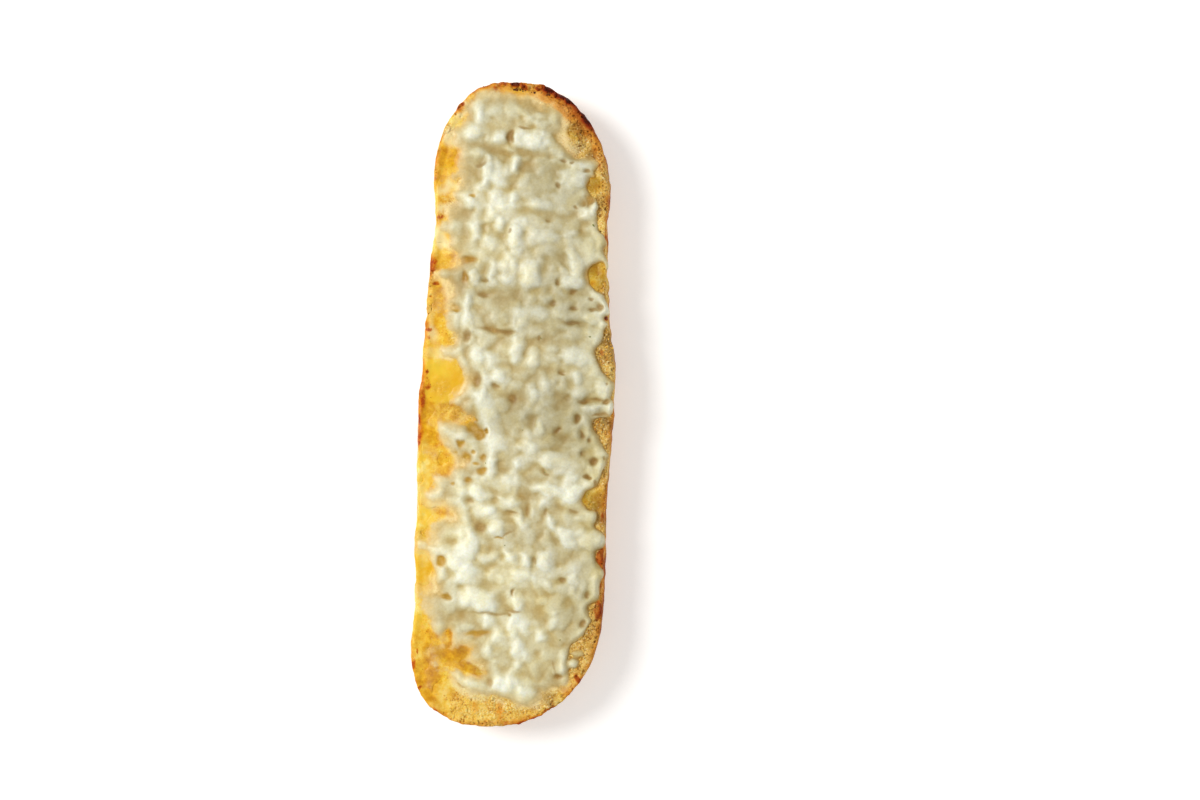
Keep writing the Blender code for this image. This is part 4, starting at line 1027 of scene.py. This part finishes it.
def cheese_piece(material):
    step = 0.4
    low, high = (-46.5, -142.0, 20.0), (47.0, 146.0, 34.5)
    x, y, z = axes_of(low, high, step)
    d = loaf(x, y, z)
    px, py = np.meshgrid(x, y, indexing="ij")
    thick = plan(H, px, py)[:, :, None]
    hang = (cut_face(px, py) - 2.0)[:, :, None]
    f = np.maximum(d - thick, -(d + 1.1))
    f = np.maximum(f, (hang - z[None, None, :]))
    f = blur(f, 0.6)
    points, quads = surface(f, (x[0], y[0], z[0]), step)
    points, faces = thinned("cheese", points, quads, 195000)
    points = settled(points, faces, f, (x[0], y[0], z[0]), step)
    px, py, pz = points.T
    local = plan(H, px, py)
    broad = plan(blur(H, 6.0), px, py)
    broader = plan(blur(H, 20.0), px, py)
    fields = {
        "thick": np.clip(local / 3.0, 0, 1),
        # painted shade where the cheese lies lower than round about, and painted light where it stands higher
        "relief_shade": np.clip(0.5 + 0.45 * (local - broad) + 0.30 * (broad - broader), 0, 1),
        "rim": np.clip(1 - plan(COVER, px, py) / 4.5, 0, 1) * (1 - plan(firm, px, py)),
        "dent": plan(dent, px, py),
        "dull_and_shade": plan(dull_and_shade, px, py),
        "bright": plan(bright, px, py),
        "warm": plan(warm, px, py),
        **stained(px, py, 1.0),
    }
    return piece("melted_cheese", points, faces, material, "cheese", fields)


# ---------------------------------------------------------------------------
# Materials
# ---------------------------------------------------------------------------
class Nodes:
    """A material's node tree, with short calls for the nodes it uses."""

    def __init__(self, name):
        self.material = bpy.data.materials.new(name)
        self.material.use_nodes = True
        self.tree = self.material.node_tree
        self.tree.nodes.clear()
        self.out = self.new("ShaderNodeOutputMaterial")
        self.shader = self.new("ShaderNodeBsdfPrincipled")
        self.link(self.shader.outputs[0], self.out.inputs["Surface"])
        coords = self.new("ShaderNodeTexCoord")
        self.where = coords.outputs["Object"]

    def new(self, kind):
        return self.tree.nodes.new(kind)

    def link(self, a, b):
        self.tree.links.new(a, b)

    def put(self, value, socket):
        if hasattr(value, "is_linked"):
            self.link(value, socket)
        elif isinstance(value, tuple) and len(value) == 3 and socket.type == "RGBA":
            socket.default_value = (*value, 1.0)
        else:
            socket.default_value = value

    def field(self, name):
        node = self.new("ShaderNodeAttribute")
        node.attribute_name = name
        return node.outputs["Fac"]

    def noise(self, size_mm, detail=3.0, rough=0.55, offset=0.0, distortion=0.0):
        node = self.new("ShaderNodeTexNoise")
        mapping = self.new("ShaderNodeMapping")
        mapping.inputs["Location"].default_value = (offset, offset * 0.7, offset * 1.3)
        self.link(self.where, mapping.inputs["Vector"])
        self.link(mapping.outputs[0], node.inputs["Vector"])
        node.inputs["Scale"].default_value = 1000.0 / size_mm
        node.inputs["Detail"].default_value = detail
        node.inputs["Roughness"].default_value = rough
        node.inputs["Distortion"].default_value = distortion
        return node.outputs["Fac"]

    def cells(self, size_mm, offset=0.0):
        node = self.new("ShaderNodeTexVoronoi")
        mapping = self.new("ShaderNodeMapping")
        mapping.inputs["Location"].default_value = (offset, offset * 0.7, offset * 1.3)
        self.link(self.where, mapping.inputs["Vector"])
        self.link(mapping.outputs[0], node.inputs["Vector"])
        node.inputs["Scale"].default_value = 1000.0 / size_mm
        return node.outputs["Distance"]

    def ramp(self, value, *stops):
        node = self.new("ShaderNodeValToRGB")
        elements = node.color_ramp.elements
        while len(elements) < len(stops):
            elements.new(0.5)
        for element, (at, colour) in zip(elements, stops):
            element.position = at
            if not isinstance(colour, tuple):
                colour = (colour, colour, colour)
            element.color = (*colour, 1.0)
        self.put(value, node.inputs["Fac"])
        return node.outputs["Color"]

    def mix(self, share, a, b, kind="MIX"):
        node = self.new("ShaderNodeMix")
        node.data_type = "RGBA"
        node.blend_type = kind
        self.put(share, node.inputs[0])
        self.put(a, node.inputs[6])
        self.put(b, node.inputs[7])
        return node.outputs[2]

    def math(self, kind, a, b=0.0, c=0.0, clamp=False):
        node = self.new("ShaderNodeMath")
        node.operation = kind
        node.use_clamp = clamp
        for value, socket in zip((a, b, c), node.inputs):
            self.put(value, socket)
        return node.outputs[0]

    def bump(self, height, strength, distance_mm, normal=None):
        node = self.new("ShaderNodeBump")
        node.inputs["Strength"].default_value = strength
        node.inputs["Distance"].default_value = distance_mm * MM
        self.put(height, node.inputs["Height"])
        if normal is not None:
            self.link(normal, node.inputs["Normal"])
        return node.outputs[0]

    def set(self, **values):
        for name, value in values.items():
            self.put(value, self.shader.inputs[name.replace("_", " ")])


def toast_colour(n, crumb, deep):
    """Colour of the toasted bread from its fields, and the noise that other sockets use again."""
    toast_, burn_and_shade_, wet, amber_, pool_, pale, dim_shade, milk_ = (
        n.field(f) for f in ("toast", "burn_and_shade", "butter", "amber", "pool", "pale", "dim_shade", "milk")
    )
    broad, mid, fine = n.noise(22.0, 3.0, 0.55), n.noise(4.0, 4.0, 0.6, 5.0), n.noise(0.8, 3.0, 0.65, 9.0)
    # the crust: golden, with browner clouds
    cloud = n.math("ADD", n.math("MULTIPLY", broad, 0.65), n.math("MULTIPLY", mid, 0.35))
    crust = n.ramp(
        cloud,
        (0.32, (0.33, 0.125, 0.024)),
        (0.44, (0.49, 0.225, 0.048)),
        (0.56, (0.63, 0.335, 0.085)),
        (0.68, (0.76, 0.48, 0.15)),
    )
    grain = n.ramp(fine, (0.3, (0.84, 0.80, 0.72)), (0.62, (1.04, 1.04, 1.05)))
    crust = n.mix(0.8, crust, grain, "MULTIPLY")
    # the crumb: pale walls round small golden pores with painted shade in them, darker still where the surface lies
    # deep
    pores = n.cells(1.2, 4.0)
    inner = n.ramp(
        n.math("ADD", n.math("MULTIPLY", mid, 0.40), n.math("MULTIPLY", fine, 0.60)),
        (0.36, (0.48, 0.24, 0.032)),
        (0.46, (0.69, 0.42, 0.090)),
        (0.56, (0.85, 0.61, 0.18)),
        (0.68, (0.97, 0.86, 0.43)),
    )
    inner = n.mix(n.ramp(pores, (0.10, 0.50), (0.32, 0.0)), inner, (0.50, 0.24, 0.03))
    inner = n.mix(n.ramp(deep, (0.10, 0.0), (0.90, 0.70)), inner, (0.55, 0.28, 0.05))
    base = n.mix(crumb, crust, inner)
    # butter soaked in: yellow, browned to orange in places, bright yellow in its pools
    oil = n.ramp(
        n.math("ADD", n.math("MULTIPLY", mid, 0.65), n.math("MULTIPLY", fine, 0.35)),
        (0.34, (0.70, 0.30, 0.010)),
        (0.46, (0.86, 0.47, 0.025)),
        (0.56, (0.94, 0.62, 0.06)),
        (0.68, (0.99, 0.78, 0.22)),
    )
    oil = n.mix(amber_, oil, n.ramp(mid, (0.34, (0.55, 0.21, 0.003)), (0.50, (0.74, 0.35, 0.005)), (0.62, (0.88, 0.48, 0.012))))
    oil = n.mix(pool_, oil, n.ramp(broad, (0.40, (0.84, 0.46, 0.012)), (0.60, (0.90, 0.60, 0.045))))
    # small bubbles and flecks in the butter
    bubble = n.ramp(n.cells(2.3, 9.0), (0.07, (0.62, 0.42, 0.22)), (0.14, (1.0, 1.0, 1.0)))
    oil = n.mix(n.math("SUBTRACT", 0.8, pool_, clamp=True), oil, n.mix(1.0, oil, bubble, "MULTIPLY"))
    base = n.mix(n.math("MULTIPLY", wet, 1.0, clamp=True), base, oil)
    grainy = n.ramp(fine, (0.36, (0.80, 0.42, 0.045)), (0.47, (0.94, 0.62, 0.10)), (0.60, (1.0, 0.88, 0.36)))
    sunny = n.ramp(mid, (0.38, (0.94, 0.58, 0.045)), (0.50, (0.98, 0.70, 0.12)), (0.62, (1.0, 0.82, 0.28)))
    base = n.mix(n.math("MULTIPLY", pale, 0.82), base, n.mix(n.ramp(wet, (0.35, 0.0), (0.8, 1.0)), grainy, sunny))
    # painted shade: the dim places go darker and greyer
    base = n.mix(dim_shade, base, n.mix(1.0, base, (0.49, 0.46, 0.47), "MULTIPLY"))
    base = n.mix(n.math("MULTIPLY", milk_, 0.72), base, (0.94, 0.79, 0.43))
    # fine grit of browned crumb, and paler flecks
    grit = n.ramp(n.noise(0.9, 2.0, 0.7, 41.0), (0.56, (1.0, 1.0, 1.0)), (0.68, (0.70, 0.46, 0.24)))
    base = n.mix(n.ramp(wet, (0.2, 0.6), (0.85, 0.10)), base, grit, "MULTIPLY")
    fleck = n.ramp(n.noise(1.1, 2.0, 0.6, 47.0), (0.58, 0.0), (0.68, 0.6))
    base = n.mix(n.math("MULTIPLY", n.math("MULTIPLY", fleck, crumb), n.math("SUBTRACT", 1.0, wet, clamp=True)), base, (0.96, 0.84, 0.50))
    # toast, in steps from gold to nearly black
    speck = n.math("ADD", toast_, n.math("MULTIPLY", n.math("SUBTRACT", fine, 0.5), 0.6))
    tint = n.ramp(speck, (0.12, (1.0, 1.0, 1.0)), (0.45, (0.92, 0.60, 0.26)), (0.95, (0.54, 0.20, 0.05)))
    base = n.mix(1.0, base, tint, "MULTIPLY")
    # burn, with its spot of painted shade, darkens from brown to nearly black
    broken = n.math("ADD", n.math("MULTIPLY", n.math("SUBTRACT", fine, 0.5), 0.8), n.math("MULTIPLY", n.math("SUBTRACT", mid, 0.5), 0.6))
    scorch_ = n.math("ADD", burn_and_shade_, n.math("MULTIPLY", broken, n.ramp(burn_and_shade_, (0.05, 0.0), (0.4, 1.0))))
    dark = n.ramp(scorch_, (0.20, (1.0, 1.0, 1.0)), (0.50, (0.72, 0.32, 0.12)), (0.80, (0.36, 0.12, 0.05)), (1.0, (0.14, 0.05, 0.03)))
    return n.mix(1.0, base, dark, "MULTIPLY"), wet, mid, fine, pores


def cheese_material():
    n = Nodes("melted_cheese")
    under, wet, _, _, _ = toast_colour(n, 1.0, 0.0)
    thick, relief_shade, amber_, rim_, dent_, dull_and_shade_, bright_, warm_ = (
        n.field(f) for f in ("thick", "relief_shade", "amber", "rim", "dent", "dull_and_shade", "bright", "warm")
    )
    mottle, fine = n.noise(5.0, 3.0, 0.6), n.noise(1.1, 2.0, 0.6, 3.0)
    depth = n.math("ADD", thick, n.math("MULTIPLY", n.math("SUBTRACT", mottle, 0.5), 0.22))
    plain = n.ramp(
        depth,
        (0.05, (0.46, 0.27, 0.06)),
        (0.14, (0.52, 0.37, 0.13)),
        (0.30, (0.59, 0.49, 0.255)),
        (0.55, (0.69, 0.64, 0.415)),
        (0.95, (0.79, 0.78, 0.62)),
    )
    oiled = n.ramp(
        depth,
        (0.03, (0.76, 0.42, 0.05)),
        (0.14, (0.74, 0.50, 0.15)),
        (0.30, (0.72, 0.58, 0.30)),
        (0.55, (0.73, 0.67, 0.445)),
        (0.95, (0.80, 0.78, 0.62)),
    )
    colour = n.mix(wet, plain, oiled)
    browned = n.ramp(depth, (0.05, (0.80, 0.52, 0.30)), (0.35, (1.0, 1.0, 1.0)))
    colour = n.mix(amber_, colour, n.mix(1.0, colour, browned, "MULTIPLY"))
    seam = n.math("MULTIPLY", rim_, n.ramp(n.noise(4.0, 3.0, 0.6, 21.0), (0.35, 0.15), (0.65, 0.9)))
    colour = n.mix(seam, colour, (0.86, 0.70, 0.36))
    # tan in the dents; the dull places darker and the bright ones paler, partly the cheese's own colour and partly
    # painted shade and painted light
    tan = n.mix(wet, (0.36, 0.20, 0.040), (0.58, 0.34, 0.008))
    colour = n.mix(n.math("MULTIPLY", dent_, n.ramp(wet, (0.3, 0.70), (0.8, 0.88))), colour, tan)
    colour = n.mix(dull_and_shade_, colour, n.mix(1.0, colour, (0.76, 0.735, 0.66), "MULTIPLY"))
    colour = n.mix(bright_, colour, n.mix(1.0, colour, (1.12, 1.14, 1.17), "MULTIPLY"))
    colour = n.mix(warm_, colour, n.mix(1.0, colour, (0.97, 0.91, 0.72), "MULTIPLY"))
    hue = n.ramp(n.noise(7.0, 3.0, 0.55, 53.0), (0.36, (1.01, 0.98, 0.88)), (0.50, (1.0, 1.0, 1.0)), (0.64, (0.99, 1.0, 1.02)))
    colour = n.mix(1.0, colour, hue, "MULTIPLY")
    # painted shade in the hollows between lumps and a painted highlight on their tops
    shade = n.ramp(relief_shade, (0.15, (0.83, 0.76, 0.60)), (0.45, (0.97, 0.95, 0.91)), (0.60, (1.0, 1.0, 1.0)), (0.90, (1.10, 1.12, 1.16)))
    colour = n.mix(1.0, colour, shade, "MULTIPLY")
    speckle = n.ramp(fine, (0.35, (0.92, 0.90, 0.85)), (0.65, (1.03, 1.03, 1.03)))
    colour = n.mix(0.85, colour, speckle, "MULTIPLY")
    # where it runs out thin, the bread shows through
    patchy = n.math("ADD", n.math("MULTIPLY", n.math("SUBTRACT", n.noise(2.4, 3.0, 0.6, 31.0), 0.5), 0.32), n.math("MULTIPLY", n.math("SUBTRACT", mottle, 0.5), 0.30))
    film = n.math("ADD", thick, patchy)
    clear = n.math("MULTIPLY", n.ramp(film, (0.06, 1.0), (0.21, 0.0)), n.ramp(rim_, (0.0, 0.35), (0.6, 1.0)))
    colour = n.mix(clear, colour, under)
    n.set(Base_Color=colour)
    n.set(Roughness=n.ramp(n.noise(3.0, 2.0, 0.6, 7.0), (0.3, 0.38), (0.7, 0.56)))
    n.shader.inputs["Subsurface Weight"].default_value = 0.30
    n.shader.inputs["Subsurface Radius"].default_value = (1.0, 0.88, 0.62)
    n.shader.inputs["Subsurface Scale"].default_value = 0.0010
    n.shader.inputs["Specular IOR Level"].default_value = 0.33
    n.shader.inputs["Coat Weight"].default_value = 0.04
    n.shader.inputs["Coat Roughness"].default_value = 0.2
    rough = n.math("ADD", n.math("MULTIPLY", n.noise(1.4, 2.0, 0.5, 11.0), 0.7), n.math("MULTIPLY", fine, 0.3))
    n.set(Normal=n.bump(rough, 0.5, 0.15))
    return n.material


def bread_material():
    n = Nodes("toasted_bread")
    crumb, deep = n.field("crumb"), n.field("deep")
    base, wet, mid, fine, pores = toast_colour(n, crumb, deep)
    n.set(Base_Color=base)
    n.set(Roughness=n.ramp(wet, (0.4, 0.75), (0.95, 0.36)))
    n.shader.inputs["Subsurface Weight"].default_value = 0.12
    n.shader.inputs["Subsurface Radius"].default_value = (1.0, 0.55, 0.2)
    n.shader.inputs["Subsurface Scale"].default_value = 0.0012
    n.shader.inputs["Specular IOR Level"].default_value = 0.16
    relief = n.math("ADD", n.math("MULTIPLY", n.noise(0.7, 3.0, 0.7, 2.0), 0.6), n.math("MULTIPLY", mid, 0.4))
    relief = n.math("ADD", relief, n.math("MULTIPLY", n.math("MULTIPLY", pores, crumb), 0.8))
    relief = n.math("MULTIPLY", relief, n.math("SUBTRACT", 1.15, wet))
    n.set(Normal=n.bump(relief, 0.7, 0.4))
    return n.material


def floor_material():
    n = Nodes("pale_floor")
    n.set(Base_Color=n.ramp(n.noise(60.0, 2.0), (0.3, (0.955, 0.955, 0.955)), (0.7, (0.965, 0.965, 0.965))))
    n.set(Roughness=0.9)
    n.shader.inputs["Specular IOR Level"].default_value = 0.1
    n.shader.inputs["Emission Color"].default_value = (1.0, 1.0, 1.0, 1.0)
    n.shader.inputs["Emission Strength"].default_value = 0.30
    return n.material


# ---------------------------------------------------------------------------
# Loose things: toasted crumbs that stick to the rim, and a few specks of herb
# ---------------------------------------------------------------------------
def ball(level):
    """Points and triangles of a unit sphere, an octahedron split `level` times."""
    points = [(1, 0, 0), (-1, 0, 0), (0, 1, 0), (0, -1, 0), (0, 0, 1), (0, 0, -1)]
    faces = [(0, 2, 4), (2, 1, 4), (1, 3, 4), (3, 0, 4), (2, 0, 5), (1, 2, 5), (3, 1, 5), (0, 3, 5)]
    points = [np.array(v, float) for v in points]
    for _ in range(level):
        middle, split = {}, []

        def half(a, b):
            key = (min(a, b), max(a, b))
            if key not in middle:
                v = points[a] + points[b]
                points.append(v / np.linalg.norm(v))
                middle[key] = len(points) - 1
            return middle[key]

        for a, b, c in faces:
            ab, bc, ca = half(a, b), half(b, c), half(c, a)
            split += [(a, ab, ca), (b, bc, ab), (c, ca, bc), (ab, bc, ca)]
        faces = split
    return np.array(points), np.array(faces)


def spin(rng):
    """A random turn about the upright axis after a random tilt."""
    a, b = rng.uniform(0, 2 * np.pi), rng.uniform(-0.5, 0.5)
    ca, sa, cb, sb = math.cos(a), math.sin(a), math.cos(b), math.sin(b)
    return np.array(((ca, -sa, 0), (sa, ca, 0), (0, 0, 1))) @ np.array(((1, 0, 0), (0, cb, -sb), (0, sb, cb)))


def top_of_bread(x, y):
    edge = float(plan(EDGE, np.array([x]), np.array([y]))[0])
    return float(cut_face(x, y)) - 1.3 * smoothstep(1.3, -0.1, edge), edge


def crumbs_piece(material):
    rng = np.random.default_rng(33)
    unit, faces = ball(2)
    # where crumbs gather: (x, y, half width, half height, how many, smallest, largest in mm, how brown)
    heaps = (
        (504, 88, 4, 1.2, 6, 0.4, 1.0, 0.7), (516, 88, 5, 1.2, 9, 0.4, 1.1, 0.85), (526, 90, 4, 1.2, 7, 0.4, 1.0, 0.85), (536, 92, 4, 1.0, 7, 0.4, 1.0, 0.85),
        (486, 87, 6, 1.5, 8, 0.3, 0.7, 0.5), (548, 94, 6, 2, 12, 0.4, 0.9, 0.7), (570, 106, 16, 10, 30, 0.3, 0.7, 0.65), (592, 130, 6, 12, 26, 0.3, 0.8, 0.5),
        (604, 200, 4, 22, 34, 0.35, 0.9, 0.20), (608, 352, 7, 18, 46, 0.35, 1.0, 0.15), (600, 430, 7, 12, 30, 0.4, 1.0, 0.25), (604, 500, 3, 12, 18, 0.4, 1.0, 0.35),
        (594, 625, 6, 26, 44, 0.3, 0.8, 0.25), (580, 668, 7, 12, 26, 0.3, 0.9, 0.30), (552, 702, 16, 6, 34, 0.3, 0.8, 0.30), (505, 712, 30, 8, 60, 0.35, 0.8, 0.10),
        (450, 700, 20, 8, 34, 0.35, 0.8, 0.10), (427, 382, 4, 10, 8, 0.3, 0.7, 0.6), (427, 332, 3, 6, 5, 0.3, 0.6, 0.6),
    )
    points, triangles_, brown = [], [], []
    for hx, hy, wide, tall, count, small, large, dark in heaps:
        placed = 0
        for _ in range(count * 8):
            if placed == count:
                break
            x, y = place(hx + wide * rng.normal(0, 0.55), hy + tall * rng.normal(0, 0.55))
            z, edge = top_of_bread(x, y)
            if edge < 0.7 or float(plan(H, np.array([x]), np.array([y]))[0]) > 0.1:
                continue
            size = 0.5 * rng.uniform(small, large)
            shape = unit * (1 + 0.16 * np.sin(unit @ rng.normal(0, 3.0, (3, 3)) + rng.uniform(0, 6, 3)).sum(1, keepdims=True))
            shape = (shape * rng.uniform(0.7, 1.3, 3) * size) @ spin(rng).T
            shape += (x, y, z - 0.35 * size)
            triangles_.append(faces + len(unit) * len(points))
            points.append(shape)
            brown.append(np.full(len(unit), np.clip(dark + rng.normal(0, 0.12), 0, 1)))
            placed += 1
    return piece("toasted_crumbs", np.concatenate(points), np.concatenate(triangles_), material, None, {"brown": np.concatenate(brown)})


def herbs_piece(material):
    rng = np.random.default_rng(35)
    unit, faces = ball(2)
    points, triangles_ = [], []
    for hx, hy, long in ((593.5, 226, 1.4), (590, 337, 1.1), (541, 338.5, 0.8), (486, 463, 0.7), (545, 472, 0.8), (523, 430, 0.6), (560, 640, 0.7), (505, 545, 0.6)):
        x, y = place(hx, hy)
        up = float(cut_face(x, y)) + max(0.0, float(plan(H, np.array([x]), np.array([y]))[0]))
        shape = unit * (1 + 0.2 * np.sin(unit @ rng.normal(0, 2.5, (3, 3)) + rng.uniform(0, 6, 3)).sum(1, keepdims=True) / 1.7)
        shape = (shape * (0.5 * long, 0.32 * long, 0.16)) @ spin(rng).T + (x, y, up + 0.02)
        triangles_.append(faces + len(unit) * len(points))
        points.append(shape)
    return piece("herb_specks", np.concatenate(points), np.concatenate(triangles_), material, None, {})


def crumb_material():
    n = Nodes("toasted_crumb")
    grain = n.noise(0.6, 3.0, 0.65, 3.0)
    tint = n.math("ADD", n.field("brown"), n.math("MULTIPLY", n.math("SUBTRACT", grain, 0.5), 0.3))
    n.set(Base_Color=n.ramp(tint, (0.10, (0.88, 0.54, 0.10)), (0.35, (0.60, 0.27, 0.04)), (0.65, (0.27, 0.085, 0.015)), (0.95, (0.07, 0.022, 0.010))))
    n.shader.inputs["Specular IOR Level"].default_value = 0.15
    n.set(Roughness=n.ramp(grain, (0.3, 0.65), (0.7, 0.85)))
    n.set(Normal=n.bump(grain, 0.6, 0.15))
    return n.material


def herb_material():
    n = Nodes("dried_herb")
    grain = n.noise(0.5, 3.0, 0.6, 6.0)
    n.set(Base_Color=n.ramp(grain, (0.3, (0.15, 0.16, 0.035)), (0.7, (0.34, 0.34, 0.10))))
    n.set(Roughness=n.ramp(grain, (0.3, 0.55), (0.7, 0.8)))
    n.set(Normal=n.bump(grain, 0.5, 0.1))
    return n.material


bread_obj = bread_piece(bread_material())
cheese_obj = cheese_piece(cheese_material())
crumbs_piece(crumb_material())
herbs_piece(herb_material())


# ---------------------------------------------------------------------------
# Floor, light and camera
# ---------------------------------------------------------------------------
def floor():
    points = np.array([(-6000, -6000, 0), (6000, -6000, 0), (6000, 6000, 0), (-6000, 6000, 0)], float)
    mesh = new_mesh("floor", points, np.array([[0, 1, 2, 3]]))
    mesh.materials.append(floor_material())
    obj = bpy.data.objects.new("floor", mesh)
    bpy.context.scene.collection.objects.link(obj)


def light(name, at, to, size, power, colour):
    data = bpy.data.lights.new(name, "AREA")
    data.shape = "DISK"
    data.size = size
    data.energy = power
    data.color = colour
    obj = bpy.data.objects.new(name, data)
    obj.location = at
    obj.rotation_euler = (Vector(to) - Vector(at)).to_track_quat("-Z", "Y").to_euler()
    bpy.context.scene.collection.objects.link(obj)


floor()
light("key", (-0.85, 0.30, 1.05), (0.0, 0.0, 0.02), 0.60, 12.2, (1.0, 0.985, 0.95))
light("fill", (0.9, -0.5, 1.3), (0.0, 0.0, 0.02), 1.2, 2.5, (1.0, 0.985, 0.965))

world = bpy.data.worlds.new("studio")
bpy.context.scene.world = world
world.use_nodes = True
world.node_tree.nodes["Background"].inputs["Color"].default_value = (1.0, 0.985, 0.965, 1.0)
world.node_tree.nodes["Background"].inputs["Strength"].default_value = 0.46

HEIGHT = 750.0  # from the lens to the cut face
centre = place(600.0, 400.0)
camera_data = bpy.data.cameras.new("camera")
camera_data.sensor_width = 36.0
camera_data.lens = 36.0 * HEIGHT / (1200 * PIXEL)
camera_data.clip_start = 0.01
camera = bpy.data.objects.new("camera", camera_data)
c, s = math.cos(LEAN), math.sin(LEAN)
turn = Matrix(((c, -s, 0), (s, c, 0), (0, 0, 1))).to_4x4()
camera.matrix_world = (
    Matrix.Translation((centre[0] * MM, centre[1] * MM, (HEIGHT + CUT_Z + 1.0) * MM)) @ turn
)
bpy.context.scene.collection.objects.link(camera)
bpy.context.scene.camera = camera
bpy.context.scene.view_settings.view_transform = "Standard"
bpy.context.scene.view_settings.look = "None"
